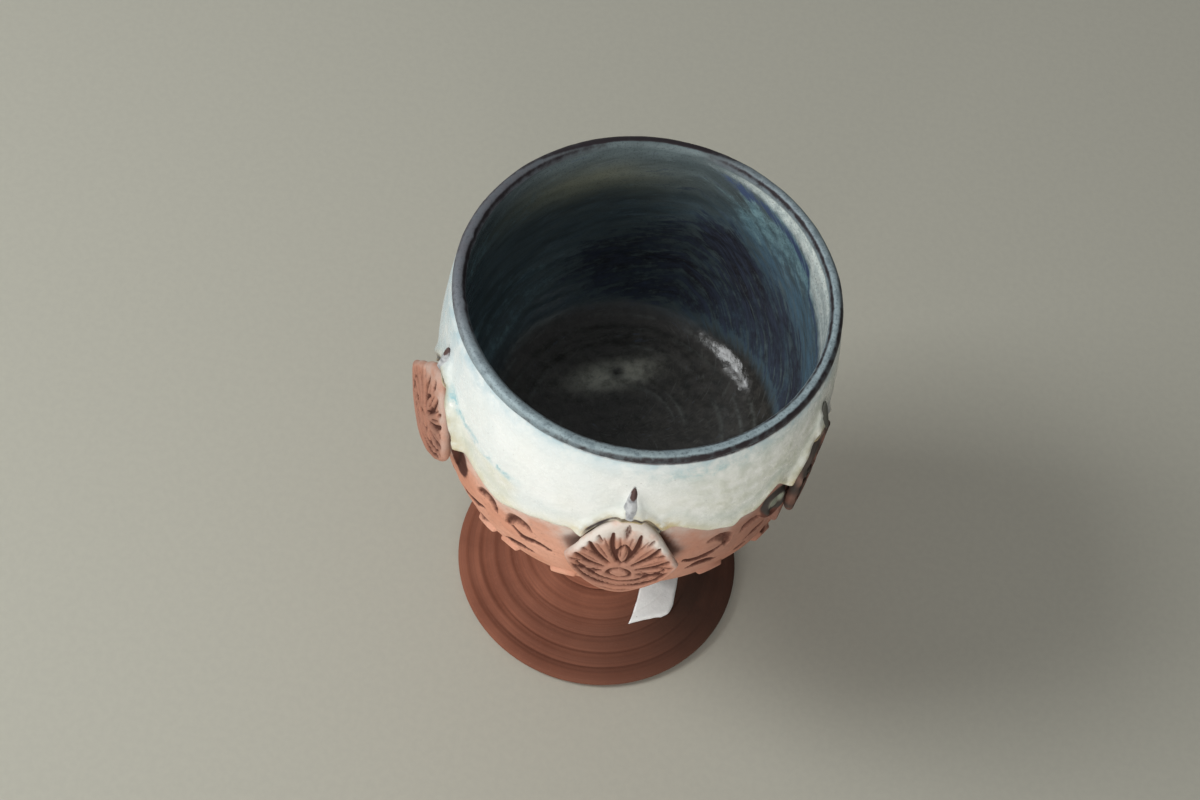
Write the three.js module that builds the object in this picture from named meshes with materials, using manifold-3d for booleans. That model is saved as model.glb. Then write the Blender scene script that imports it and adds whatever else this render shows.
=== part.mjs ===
// Ceramic chalice: a wheel-thrown bowl on a turned stem and foot, with applied
// medallions and thorns, a blue lining, a white outer glaze and a white run on the foot.
// Millimetres, +Z up, origin at the centre of the foot's resting face.
// An azimuth is counted in degrees from -Y, the front, towards +X, the right-hand side.
import * as THREE from 'three';
import { mergeVertices } from 'three/addons/utils/BufferGeometryUtils.js';
import Module from 'manifold-3d';

// Fits
const FIT_GAP = 0.3; // left between two pieces that are joined
const CUT_OUT_GAP = 0.5; // left in the outer glaze around a medallion or thorn

// Foot
const FOOT_RADIUS = 40.5;
const FOOT_EDGE_HEIGHT = 3.4;
const FOOT_HUB_HEIGHT = 11;
const FOOT_HUB_MARGIN = 1.5; // flat left outside the lower joint coil
const FOOT_SWEEP = 1.4; // above 1 the slope hollows towards the hub
const FOOT_RIDGES = 4;
const FOOT_RIDGE_HEIGHT = 0.6;

// Stem
const STEM_HEIGHT = 50.6;
const STEM_BASE_RADIUS = 13.5;
const STEM_WAIST_RADIUS = 9.6;
const STEM_TOP_RADIUS = 14.5;
const STEM_WAIST_SHARE = 0.45; // height of the waist as a share of the free length
const STEM_FLARE = 0.3; // share of each half that the flare takes up

// Joint coils of soft clay, one at each end of the stem
const COIL_THICKNESS = 0.8; // squeezed layer between two faces
const COIL_WIDTH = 2.2; // fillet outside the stem
const COIL_TIP_WIDTH = 0.45;
const COIL_HEIGHT = 2;

// Bowl, bare clay
const HAUNCH_HEIGHT = 42.4; // underside to belly
const HAUNCH_REACH = 0.94; // how far the underside runs out before it turns up
const HAUNCH_FULLNESS = 0.67; // how far down the belly stays wide
const WALL_ABOVE_BELLY = 31.35; // belly to the centre of the rounded lip
const BELLY_RADIUS = 48;
const RIM_RADIUS = 45.3;
const LIP_WALL = 1.9;
const BELLY_WALL = 3.2;
const FLOOR_THICKNESS = 10.2;
const FLOOR_DISH = 1.2;
const FLOOR_RADIUS = 27; // where the floor starts to turn up
const FLOOR_REACH = 0.8; // how far the floor runs out before it turns up
const FLOOR_FULLNESS = 0.62; // how far down the inside stays wide
const UNDERSIDE_MARGIN = 6.5; // flat left outside the upper joint coil

// Glazes
const LINING_THICKNESS = 0.6;
const COAT_THICKNESS = 0.6;
const COAT_DROP = 0.6; // mean lower edge, below the belly
const COAT_TILT = 4; // the lower edge hangs deeper on the left than on the right
const COAT_SAG = 4; // sag of the lower edge between two medallions

// White run on the foot
const RUN_SIDE = 12.2; // its left side, to the right of the stem's axis
const RUN_WIDTH = 12;
const RUN_BACK = 4; // its back end, in front of the stem's axis
const RUN_FRONT = 22.6;
const RUN_CORNER = 5; // rounding of the front right corner
const RUN_THICKNESS = 1.1;

// Medallions: stamped clay slabs, pressed on at the top and standing off below
const MEDALLION_WIDTH = 28.2;
const MEDALLION_RISE = 18.6; // centre to the tip of the dome
const MEDALLION_FALL = 14.4; // centre to the lower edge
const MEDALLION_THICKNESS = 3;
const MEDALLION_STANDOFF = 0.7; // back face outside the belly
const MEDALLION_BEVEL = 0.5;

// Hands of the medallion's outline, as shares of its half width and of its rise or fall
const SHOULDER_ACROSS = 0.68;
const SHOULDER_UP = 0.42;
const DOME_ROUND = 0.38;
const HEEL_ACROSS = 0.96;
const HEEL_DOWN = 0.4;
const HEEL_ROUND = 0.42;

// Slip pads that hold the medallions' lower halves to the wall
const PAD_WIDTH = 14;
const PAD_HEIGHT = 9;
const PAD_DROP = 6.8; // centre of the pad, below the medallion's centre

// Thorns: pointed clay tips above the medallions
const THORN_WIDTH = 4.8;
const THORN_DEPTH = 4;
const THORN_TIP_BELOW_LIP = 8.2;
const THORN_TIP_PROUD = 1.1; // tip outside the bowl's wall

// Palmette stamped into the medallions: rays and cups round a root below the centre
const PALMETTE_DEPTH = 0.8;
const PALMETTE_GROOVE = 1.5; // width of a groove
const PALMETTE_ROOT_DROP = 5.2;
const PALMETTE_RAYS = [
  { angle: 11, start: 5.6, end: 17.2 },
  { angle: 34, start: 5.2, end: 15.4 },
  { angle: 57, start: 4.8, end: 13.6 },
  { angle: 80, start: 4.6, end: 12.2 },
];
const PALMETTE_CUPS = [
  [[0, 8.4], [4, 7.4], [7.6, 4.8], [10.4, 1.8]],
  [[0, 10.5], [5, 9.3], [9.2, 6.2], [11.8, 2.6]],
]; // right halves, as places across and below the centre

// Places where the medallions were pressed on by hand: the drop of the centre below the
// belly, the lift off the wall and the pad's place across in millimetres, the swing, the turn
// and the lean of the dome towards the bowl in degrees
const MEDALLIONS = [
  { side: 'front', azimuth: 6.6, drop: 7.2, lift: 0, swing: 0, turn: -1.5, lean: 6, padSide: 0 },
  { side: 'right', azimuth: 72, drop: 5.2, lift: -1.6, swing: 3.8, turn: 4, lean: 0, padSide: -8 },
  { side: 'back_right', azimuth: 145, drop: 6, lift: 0.3, swing: -2, turn: 2, lean: 6, padSide: 0 },
  { side: 'back_left', azimuth: -138, drop: 5.6, lift: 0.4, swing: 2, turn: -3, lean: 6, padSide: 0 },
  { side: 'left', azimuth: -65, drop: 3.6, lift: 1.1, swing: 3.5, turn: -6, lean: 6, padSide: 0 },
];

// Marks pressed into the bare clay between two medallions, as azimuths and drops below the belly
const LEFT_MARKS = [
  { kind: 'crescent', path: [[-41, 13.6], [-38.4, 11], [-35.4, 11.6], [-33.3, 15]] },
  { kind: 'wave', path: [[-52.7, 27.3], [-44, 22.4], [-38.7, 19.1]] },
  { kind: 'slot', path: [[-47, 28.2], [-37.6, 27]] },
  { kind: 'lip', path: [[-42, 30.4], [-35.6, 29.4]] },
  { kind: 'crescent', path: [[-29, 16.4], [-27, 11.8], [-24, 10.2], [-20.6, 12.2]] },
  { kind: 'wave', path: [[-26.6, 15.6], [-22.8, 17.8], [-18.4, 16.6], [-14, 17.6]] },
  { kind: 'slot', path: [[-30, 27.6], [-25, 24.4], [-20, 23.8]] },
  { kind: 'lip', path: [[-32.4, 32], [-26.2, 30.2]] },
];
const RIGHT_MARKS = [
  { kind: 'crescent', path: [[32.5, 7.8], [35.4, 6.8], [38.4, 9.4], [39.4, 14]] },
  { kind: 'wave', path: [[26, 15.6], [29.8, 16.4], [34, 15.2], [38.2, 12.4]] },
  { kind: 'slot', path: [[28.4, 20.8], [32.2, 19.6], [36.7, 21]] },
  { kind: 'lip', path: [[33.6, 27.8], [40.2, 26.6]] },
  { kind: 'crescent', path: [[44, 10.4], [46.4, 7.2], [49.4, 7.6]] },
  { kind: 'wave', path: [[47.2, 17.6], [51.3, 15.3], [55.5, 12.7]] },
  { kind: 'slot', path: [[57.2, 24.2], [60.4, 22], [64, 22.9]] },
  { kind: 'lip', path: [[54.4, 26.4], [60.2, 26]] },
];
// The same marks come back in the gaps between the other medallions, turned by these angles
const LEFT_MARK_TURNS = [0, -69, 215];
const RIGHT_MARK_TURNS = [0, 66];
// Half widths, and heights against the wall
const MARK_KINDS = {
  crescent: { halfWidth: 2, height: -0.8 },
  wave: { halfWidth: 1.2, height: -0.8 },
  slot: { halfWidth: 1.5, height: -1 },
  lip: { halfWidth: 1.7, height: 1.1 },
};

// Fineness of the curved faces
const AROUND = 40;
const CUTTER_AROUND = 72;
const CURVE_STEPS = 5;
const FINE_STEPS = 40;
const RIDGE_STEPS = 4;
const COAT_ROWS = 5;
const OUTLINE_STEPS = 6;
const THORN_SIDES = 12;
const LIP_STEPS = 4;
const MARK_SIDES = 8;
const WELD_DISTANCE = 1e-4;

// Finishes
const PALE_CLAY = { color: 0xcf9a7c, roughness: 0.85 };
const DARK_CLAY = { color: 0x7d4837, roughness: 0.8 };
const WHITE_GLAZE = { color: 0xe6e7dd, roughness: 0.28 };
const BLUE_GLAZE = { color: 0x2c3848, roughness: 0.15 };

// Heights and radii that follow from the sizes above
const footEdge = FOOT_EDGE_HEIGHT / 2;
const hubRadius = STEM_BASE_RADIUS + COIL_WIDTH + FOOT_HUB_MARGIN;
const jointHeight = COIL_THICKNESS + 2 * FIT_GAP;
const stemBottom = FOOT_HUB_HEIGHT + jointHeight;
const stemTop = stemBottom + STEM_HEIGHT;
const underside = stemTop + jointHeight;
const undersideRadius = STEM_TOP_RADIUS + COIL_WIDTH + UNDERSIDE_MARGIN;
const belly = underside + HAUNCH_HEIGHT;
const lip = belly + WALL_ABOVE_BELLY;
const wallMiddle = belly + WALL_ABOVE_BELLY / 2;
const floor = underside + FLOOR_THICKNESS;
const innerBellyRadius = BELLY_RADIUS - BELLY_WALL;
const innerRimRadius = RIM_RADIUS - LIP_WALL;

const { degToRad, lerp } = THREE.MathUtils;
const wasm = await Module();
wasm.setup();

// A closed surface with shared corners and no collapsed triangles
function weld(geometry) {
  geometry.deleteAttribute('normal');
  geometry.deleteAttribute('uv');
  const merged = mergeVertices(geometry, WELD_DISTANCE);
  const index = merged.getIndex().array;
  const kept = [];
  for (let i = 0; i < index.length; i += 3) {
    const [a, b, c] = index.slice(i, i + 3);
    if (a !== b && b !== c && c !== a) kept.push(a, b, c);
  }
  merged.clearGroups();
  merged.setIndex(kept);
  merged.computeVertexNormals();
  return merged;
}

// A piece turned on the wheel, from a section of radius and height
function turned(section, around = AROUND) {
  return weld(new THREE.LatheGeometry(section, around).rotateX(Math.PI / 2));
}

function toSolid(geometry) {
  return new wasm.Manifold(new wasm.Mesh({
    numProp: 3,
    vertProperties: new Float32Array(geometry.getAttribute('position').array),
    triVerts: new Uint32Array(geometry.getIndex().array),
  }));
}

function toGeometry(solid) {
  const { vertProperties, triVerts } = solid.getMesh();
  const geometry = new THREE.BufferGeometry();
  geometry.setAttribute('position', new THREE.BufferAttribute(new Float32Array(vertProperties), 3));
  geometry.setIndex(Array.from(triVerts));
  geometry.computeVertexNormals();
  return geometry;
}

function piece(name, geometry, finish) {
  const mesh = new THREE.Mesh(geometry, new THREE.MeshStandardMaterial({ ...finish, metalness: 0 }));
  mesh.name = name;
  return mesh;
}

// Every point of a section moved outwards along its own normal
function offset(points, distance) {
  return points.map((point, i) => {
    const before = points[Math.max(i - 1, 0)];
    const after = points[Math.min(i + 1, points.length - 1)];
    const along = after.clone().sub(before).normalize();
    return new THREE.Vector2(point.x + along.y * distance, point.y - along.x * distance);
  });
}

// Bowl sections

// Outside of the clay wall, from the edge of the underside to the lip
function bowlOutside(steps) {
  const path = new THREE.Path();
  path.moveTo(undersideRadius, underside);
  path.bezierCurveTo(
    lerp(undersideRadius, BELLY_RADIUS, HAUNCH_REACH), underside,
    BELLY_RADIUS, belly - HAUNCH_FULLNESS * HAUNCH_HEIGHT,
    BELLY_RADIUS, belly,
  );
  path.quadraticCurveTo(BELLY_RADIUS, wallMiddle, RIM_RADIUS, lip);
  return path.getPoints(steps);
}

// Inside of the clay wall, from the lip to the middle of the floor
function bowlInside() {
  const path = new THREE.Path();
  path.moveTo(innerRimRadius, lip);
  path.quadraticCurveTo(innerBellyRadius, wallMiddle, innerBellyRadius, belly);
  path.bezierCurveTo(
    innerBellyRadius, lerp(belly, floor, FLOOR_FULLNESS),
    lerp(FLOOR_RADIUS, innerBellyRadius, FLOOR_REACH), floor,
    FLOOR_RADIUS, floor,
  );
  path.lineTo(0, floor - FLOOR_DISH);
  return path.getPoints(CURVE_STEPS);
}

function lipRound() {
  const path = new THREE.Path();
  path.absarc(RIM_RADIUS - LIP_WALL / 2, lip, LIP_WALL / 2, 0, Math.PI, false);
  return path.getPoints(LIP_STEPS);
}

const outsidePoints = bowlOutside(FINE_STEPS);

// Radius at a height on a section that runs upwards
function radiusAt(points, height) {
  const next = points.findIndex((point) => point.y > height);
  const above = points[next < 1 ? points.length - 1 : next];
  const below = points[next < 1 ? points.length - 2 : next - 1];
  return lerp(below.x, above.x, (height - below.y) / (above.y - below.y));
}

// Radius of the clay wall's outside at a height
function wallRadius(height) {
  return radiusAt(outsidePoints, height);
}

// The bowl filled up and grown by the joint gap, for fitting pieces to its outside
function bowlEnvelope() {
  const section = [
    new THREE.Vector2(0, underside - FIT_GAP),
    new THREE.Vector2(undersideRadius, underside - FIT_GAP),
    ...outsidePoints.map((point) => new THREE.Vector2(point.x + FIT_GAP, point.y)),
    new THREE.Vector2(0, lip),
  ];
  return toSolid(turned(section, CUTTER_AROUND));
}

// One mark as a chain of round strokes that lies in the wall, or stands out of it
function markSolid({ kind, path }, turn) {
  const { halfWidth, height } = MARK_KINDS[kind];
  const depth = Math.abs(height);
  const round = (halfWidth ** 2 + depth ** 2) / (2 * depth);
  const wall = bowlOutside(CURVE_STEPS);
  const beads = path.map(([azimuth, drop]) => {
    const angle = degToRad(azimuth + turn);
    const radius = radiusAt(wall, belly - drop) + height - Math.sign(height) * round;
    const bead = wasm.Manifold.sphere(round, MARK_SIDES).rotate([0, 0, azimuth + turn]);
    return bead.translate([radius * Math.sin(angle), -radius * Math.cos(angle), belly - drop]);
  });
  const strokes = beads.slice(1).map((bead, i) => wasm.Manifold.hull([beads[i], bead]));
  return { height, solid: wasm.Manifold.union(strokes) };
}

function everyMark() {
  return [
    ...LEFT_MARK_TURNS.flatMap((turn) => LEFT_MARKS.map((mark) => markSolid(mark, turn))),
    ...RIGHT_MARK_TURNS.flatMap((turn) => RIGHT_MARKS.map((mark) => markSolid(mark, turn))),
  ];
}

function bowl() {
  const section = [
    new THREE.Vector2(0, underside),
    ...bowlOutside(CURVE_STEPS),
    ...lipRound().slice(1, -1),
    ...bowlInside(),
  ];
  let solid = toSolid(turned(section));
  for (const mark of everyMark()) {
    solid = mark.height < 0 ? solid.subtract(mark.solid) : solid.add(mark.solid);
  }
  return piece('bowl', toGeometry(solid), PALE_CLAY);
}

// Blue glaze inside the bowl and over its lip
function innerLining() {
  const claySide = [...lipRound(), ...bowlInside().slice(1)];
  const nearSide = offset(claySide, FIT_GAP);
  const wetSide = offset(claySide, FIT_GAP + LINING_THICKNESS);
  nearSide.at(-1).x = 0;
  wetSide.at(-1).x = 0;
  return piece('inner_glaze_lining', turned([...nearSide.reverse(), ...wetSide]), BLUE_GLAZE);
}

// Foot, stem and the coils that join them

// Ridged upper face of the foot, from its hub out to its edge
function footFace() {
  const rings = FOOT_RIDGES * RIDGE_STEPS;
  const points = [];
  for (let i = 0; i <= rings; i += 1) {
    const share = i / rings;
    const slope = (FOOT_HUB_HEIGHT - FOOT_EDGE_HEIGHT) * (1 - share) ** FOOT_SWEEP;
    const ridge = FOOT_RIDGE_HEIGHT * Math.sin(Math.PI * FOOT_RIDGES * share) ** 2;
    const radius = lerp(hubRadius, FOOT_RADIUS - footEdge, share);
    points.push(new THREE.Vector2(radius, FOOT_EDGE_HEIGHT + slope + ridge));
  }
  return points;
}

function foot() {
  const path = new THREE.Path();
  path.moveTo(0, 0);
  path.lineTo(FOOT_RADIUS - footEdge, 0);
  path.absarc(FOOT_RADIUS - footEdge, footEdge, footEdge, -Math.PI / 2, Math.PI / 2, false);
  const face = footFace().slice(0, -1).reverse();
  const section = [...path.getPoints(CURVE_STEPS), ...face, new THREE.Vector2(0, FOOT_HUB_HEIGHT)];
  return piece('foot', turned(section), DARK_CLAY);
}

function stem() {
  const lowLand = stemBottom + COIL_HEIGHT;
  const highLand = stemTop - COIL_HEIGHT;
  const waist = lerp(lowLand, highLand, STEM_WAIST_SHARE);
  const path = new THREE.Path();
  path.moveTo(0, stemBottom);
  path.lineTo(STEM_BASE_RADIUS, stemBottom);
  path.lineTo(STEM_BASE_RADIUS, lowLand);
  path.quadraticCurveTo(STEM_WAIST_RADIUS, lerp(lowLand, waist, STEM_FLARE), STEM_WAIST_RADIUS, waist);
  path.quadraticCurveTo(STEM_WAIST_RADIUS, lerp(highLand, waist, STEM_FLARE), STEM_TOP_RADIUS, highLand);
  path.lineTo(STEM_TOP_RADIUS, stemTop);
  path.lineTo(0, stemTop);
  return piece('stem', turned(path.getPoints(CURVE_STEPS)), DARK_CLAY);
}

// Squeezed layer on a seat, with a fillet round the stem's end.
// The fillet rises for growth 1 and hangs down for growth -1.
function jointCoil(name, seat, stemRadius, growth) {
  const inside = stemRadius + FIT_GAP;
  const tipRadius = inside + COIL_TIP_WIDTH;
  const layer = seat + growth * COIL_THICKNESS;
  const tip = layer + growth * COIL_HEIGHT;
  const path = new THREE.Path();
  path.moveTo(0, seat);
  path.lineTo(stemRadius + COIL_WIDTH, seat);
  path.quadraticCurveTo(tipRadius, layer, tipRadius, tip);
  path.lineTo(inside, tip);
  path.lineTo(inside, layer);
  path.lineTo(0, layer);
  const section = path.getPoints(CURVE_STEPS);
  return piece(name, turned(growth > 0 ? section : section.reverse()), DARK_CLAY);
}

// White glaze that ran over the foot's ridges
function whiteRun() {
  const raised = (height) => footFace().map((point) => new THREE.Vector2(point.x, point.y + height));
  const low = raised(FIT_GAP);
  const high = raised(FIT_GAP + RUN_THICKNESS);
  const layer = toSolid(turned([...low, ...high.reverse(), low[0]]));
  const right = RUN_SIDE + RUN_WIDTH;
  const plan = new THREE.Shape();
  plan.moveTo(RUN_SIDE, -RUN_BACK);
  plan.lineTo(RUN_SIDE, -RUN_FRONT);
  plan.lineTo(right - RUN_CORNER, -RUN_FRONT);
  plan.quadraticCurveTo(right, -RUN_FRONT, right, RUN_CORNER - RUN_FRONT);
  plan.lineTo(right, -RUN_BACK);
  plan.closePath();
  const column = new THREE.ExtrudeGeometry(plan, {
    depth: FOOT_HUB_HEIGHT + FIT_GAP + RUN_THICKNESS,
    bevelEnabled: false,
    curveSegments: OUTLINE_STEPS,
  });
  return piece('white_glaze_run', toGeometry(layer.intersect(toSolid(weld(column)))), WHITE_GLAZE);
}

// Medallions and thorns, each made facing -Y and then turned to its azimuth

function medallionOutline(grow = 0) {
  const half = MEDALLION_WIDTH / 2 + grow;
  const top = MEDALLION_RISE + grow;
  const bottom = -MEDALLION_FALL - grow;
  const shoulder = SHOULDER_ACROSS * half;
  const dome = DOME_ROUND * half;
  const heel = HEEL_ACROSS * half;
  const heelRound = HEEL_ROUND * half;
  const outline = new THREE.Shape();
  outline.moveTo(half, 0);
  outline.bezierCurveTo(shoulder, SHOULDER_UP * top, dome, top, 0, top);
  outline.bezierCurveTo(-dome, top, -shoulder, SHOULDER_UP * top, -half, 0);
  outline.bezierCurveTo(-heel, HEEL_DOWN * bottom, -heelRound, bottom, 0, bottom);
  outline.bezierCurveTo(heelRound, bottom, heel, HEEL_DOWN * bottom, half, 0);
  return outline;
}

function padOutline({ padSide }) {
  const outline = new THREE.Shape();
  outline.absellipse(padSide, -PAD_DROP, PAD_WIDTH / 2, PAD_HEIGHT / 2, 0, 2 * Math.PI, false);
  return outline;
}

// Outline of a groove along a path
function grooveOutline(path) {
  const points = path.map(([across, up]) => new THREE.Vector2(across, up));
  const side = points.map((point, i) => {
    const along = points[Math.min(i + 1, points.length - 1)].clone().sub(points[Math.max(i - 1, 0)]);
    return along.set(-along.y, along.x).setLength(PALMETTE_GROOVE / 2);
  });
  return new THREE.Shape([
    ...points.map((point, i) => point.clone().sub(side[i])),
    ...points.map((point, i) => point.clone().add(side[i])).reverse(),
  ]);
}

function palmetteGrooves() {
  const rays = PALMETTE_RAYS.flatMap(({ angle, start, end }) => [-1, 1].map((side) => {
    const across = side * Math.sin(degToRad(angle));
    const up = Math.cos(degToRad(angle));
    return [start, end].map((reach) => [reach * across, reach * up - PALMETTE_ROOT_DROP]);
  }));
  const cups = PALMETTE_CUPS.map((half) => [
    ...half.slice(1).reverse().map(([across, drop]) => [-across, -drop]),
    ...half.map(([across, drop]) => [across, -drop]),
  ]);
  return [...rays, ...cups].map(grooveOutline);
}

// A slab of an outline, between two distances in front of the medallion's back face
function slab(outline, back, front, bevel = 0) {
  const geometry = new THREE.ExtrudeGeometry(outline, {
    depth: front - back - 2 * bevel,
    bevelEnabled: bevel > 0,
    bevelThickness: bevel,
    bevelSize: bevel,
    bevelOffset: -bevel,
    bevelSegments: 1,
    curveSegments: OUTLINE_STEPS,
  });
  return geometry.translate(0, 0, back + bevel);
}

// From the medallion's own plane to its place on the bowl's front
function pressOn(geometry, { drop, lift, swing, turn, lean }) {
  geometry.rotateZ(degToRad(turn));
  geometry.rotateX(degToRad(90 - lean));
  geometry.rotateZ(degToRad(swing));
  geometry.translate(0, -(BELLY_RADIUS + MEDALLION_STANDOFF + lift), belly - drop);
  return toSolid(weld(geometry));
}

// Height of the dome's tip on the bowl's front
function domeTop({ drop, turn, lean }) {
  const tilt = degToRad(lean);
  const rise = MEDALLION_RISE * Math.cos(degToRad(turn)) * Math.cos(tilt);
  return belly - drop + rise + MEDALLION_THICKNESS * Math.sin(tilt);
}

// A thorn's cone, from just above the dome to a tip below the lip
function thornCone(place, grow) {
  const base = domeTop(place) + FIT_GAP - grow;
  const tip = lip - THORN_TIP_BELOW_LIP + grow;
  const baseRadius = wallRadius(base) + FIT_GAP;
  const tipRadius = wallRadius(tip) + THORN_TIP_PROUD;
  const length = Math.hypot(tip - base, tipRadius - baseRadius);
  const cone = new THREE.ConeGeometry(THORN_WIDTH / 2 + grow, length, THORN_SIDES);
  cone.scale(1, 1, (THORN_DEPTH / 2 + grow) / (THORN_WIDTH / 2 + grow));
  cone.translate(0, length / 2, 0);
  cone.rotateX(Math.PI / 2 + Math.atan2(tipRadius - baseRadius, tip - base));
  cone.translate(0, -baseRadius, base);
  return toSolid(weld(cone));
}

function medallionPieces(place, envelope) {
  const blank = pressOn(slab(medallionOutline(), 0, MEDALLION_THICKNESS, MEDALLION_BEVEL), place);
  const grooves = palmetteGrooves().map((outline) => (
    pressOn(slab(outline, MEDALLION_THICKNESS - PALMETTE_DEPTH, 2 * MEDALLION_THICKNESS), place)
  ));
  const face = blank.subtract(wasm.Manifold.union(grooves));
  const pad = pressOn(slab(padOutline(place), -PAD_WIDTH, -FIT_GAP), place);
  const thorn = thornCone(place, 0);
  const seated = (solid) => toGeometry(solid.subtract(envelope));
  const pieces = [
    piece(`medallion_${place.side}`, seated(face), PALE_CLAY),
    piece(`slip_pad_${place.side}`, seated(pad), PALE_CLAY),
    piece(`thorn_${place.side}`, seated(thorn), DARK_CLAY),
  ];
  pieces.forEach((mesh) => mesh.rotateZ(degToRad(place.azimuth)));
  return pieces;
}

// Height of the white coat's lower edge at an azimuth in radians
function coatEdge(azimuth) {
  const first = degToRad(MEDALLIONS[0].azimuth);
  const tilt = COAT_TILT * Math.sin(azimuth);
  return belly - COAT_DROP + tilt + COAT_SAG * Math.cos(MEDALLIONS.length * (azimuth - first));
}

// White glaze on the bowl's outside, open around the medallions and thorns.
// It starts as a tube of unit wall and height, and is then wrapped onto the bowl.
function outerCoat() {
  const inside = 1;
  const section = [];
  for (let i = 0; i <= COAT_ROWS; i += 1) section.push(new THREE.Vector2(inside + 1, i / COAT_ROWS));
  for (let i = COAT_ROWS; i >= 0; i -= 1) section.push(new THREE.Vector2(inside, i / COAT_ROWS));
  section.push(section[0]);
  const geometry = new THREE.LatheGeometry(section, CUTTER_AROUND);
  const position = geometry.getAttribute('position');
  for (let i = 0; i < position.count; i += 1) {
    const across = Math.hypot(position.getX(i), position.getZ(i));
    const azimuth = Math.atan2(position.getX(i), position.getZ(i));
    const height = lerp(coatEdge(azimuth), lip - FIT_GAP, position.getY(i));
    const radius = wallRadius(height) + FIT_GAP + COAT_THICKNESS * (across - inside);
    position.setXYZ(i, radius * Math.sin(azimuth), height, radius * Math.cos(azimuth));
  }
  let coat = toSolid(weld(geometry.rotateX(Math.PI / 2)));
  for (const place of MEDALLIONS) {
    const hole = pressOn(slab(medallionOutline(CUT_OUT_GAP), -MEDALLION_RISE, MEDALLION_RISE), place);
    const opening = hole.add(thornCone(place, CUT_OUT_GAP));
    coat = coat.subtract(opening.rotate([0, 0, place.azimuth]));
  }
  return piece('outer_glaze_coat', toGeometry(coat), WHITE_GLAZE);
}

const chalice = new THREE.Group();
const envelope = bowlEnvelope();
chalice.add(
  foot(),
  jointCoil('lower_joint_coil', FOOT_HUB_HEIGHT + FIT_GAP, STEM_BASE_RADIUS, 1),
  stem(),
  jointCoil('upper_joint_coil', underside - FIT_GAP, STEM_TOP_RADIUS, -1),
  bowl(),
  innerLining(),
  outerCoat(),
  whiteRun(),
  ...MEDALLIONS.flatMap((place) => medallionPieces(place, envelope)),
);

export default chalice;
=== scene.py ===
import math

import bmesh
import bpy
import numpy as np
from mathutils import Matrix, Vector, geometry, noise


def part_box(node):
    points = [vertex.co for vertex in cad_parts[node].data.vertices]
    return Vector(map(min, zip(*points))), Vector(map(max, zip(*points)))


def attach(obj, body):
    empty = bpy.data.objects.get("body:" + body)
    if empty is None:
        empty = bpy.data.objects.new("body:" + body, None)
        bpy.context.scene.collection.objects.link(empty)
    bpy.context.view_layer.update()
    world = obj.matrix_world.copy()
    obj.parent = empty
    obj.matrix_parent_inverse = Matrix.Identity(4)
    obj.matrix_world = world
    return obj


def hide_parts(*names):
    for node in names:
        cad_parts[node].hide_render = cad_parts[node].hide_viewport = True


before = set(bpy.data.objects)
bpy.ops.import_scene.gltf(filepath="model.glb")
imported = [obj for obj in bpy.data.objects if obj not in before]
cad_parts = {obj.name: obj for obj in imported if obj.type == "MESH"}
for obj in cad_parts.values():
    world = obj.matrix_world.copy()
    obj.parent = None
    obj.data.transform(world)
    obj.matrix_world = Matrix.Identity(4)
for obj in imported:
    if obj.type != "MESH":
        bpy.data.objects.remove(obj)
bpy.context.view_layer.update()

# Shapes are worked out in millimetres and become metres when a piece is finished.
# An azimuth is counted in degrees from the front, -Y, towards the right, +X.
MM = 0.001


def corners(node):
    """Lowest and highest corner of a solid, in millimetres"""
    return [np.array(corner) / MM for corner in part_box(node)]


foot_high = corners("foot")[1]
stem_low, stem_high = corners("stem")
bowl_low, bowl_high = corners("bowl")

# Foot and stem
FOOT_RADIUS = foot_high[0]
FOOT_EDGE = 3.4
HUB_TOP = foot_high[2]
HUB_RADIUS = 17.2
FOOT_SWEEP = 1.4
RIDGE_CREST = 34.4
RIDGE_PITCH = 4.3
RIDGE_HEIGHT = 0.55
STEM_BASE_RADIUS = 13.5
STEM_WAIST_RADIUS = 9.6
STEM_TOP_RADIUS = stem_high[0]
STEM_LAND = 2.0
STEM_WAIST_SHARE = 0.45
STEM_FLARE = 0.3
STEM_SPIRAL = 4.6
COIL_WIDTH = 2.2

# Bowl
UNDERSIDE = bowl_low[2]
UNDERSIDE_RADIUS = 23.2
HAUNCH_REACH = 0.94
HAUNCH_FULLNESS = 0.67
BELLY = 106.8
BELLY_RADIUS = bowl_high[0]
LIP_WALL = 1.9
LIP = bowl_high[2] - LIP_WALL / 2
RIM_RADIUS = 45.3
LIP_MIDDLE = RIM_RADIUS - LIP_WALL / 2
FLOOR = 74.6
FLOOR_RADIUS = 27.0
FLOOR_DIP = 1.2
CUP_FULLNESS = 0.62
CUP_REACH = 0.8
CUP_BELLY_RADIUS = 44.8
CUP_RIM_RADIUS = RIM_RADIUS - LIP_WALL
HALF_UP = (BELLY + LIP) / 2
# Height above which the white coat and the medallions hide the clay
COATED = 114.0

# Medallions
SLAB_HALF = 14.1
SLAB_RISE = 18.6
SLAB_FALL = 14.4
SLAB_THICKNESS = 3.0
SLAB_STANDOFF = 0.7
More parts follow.
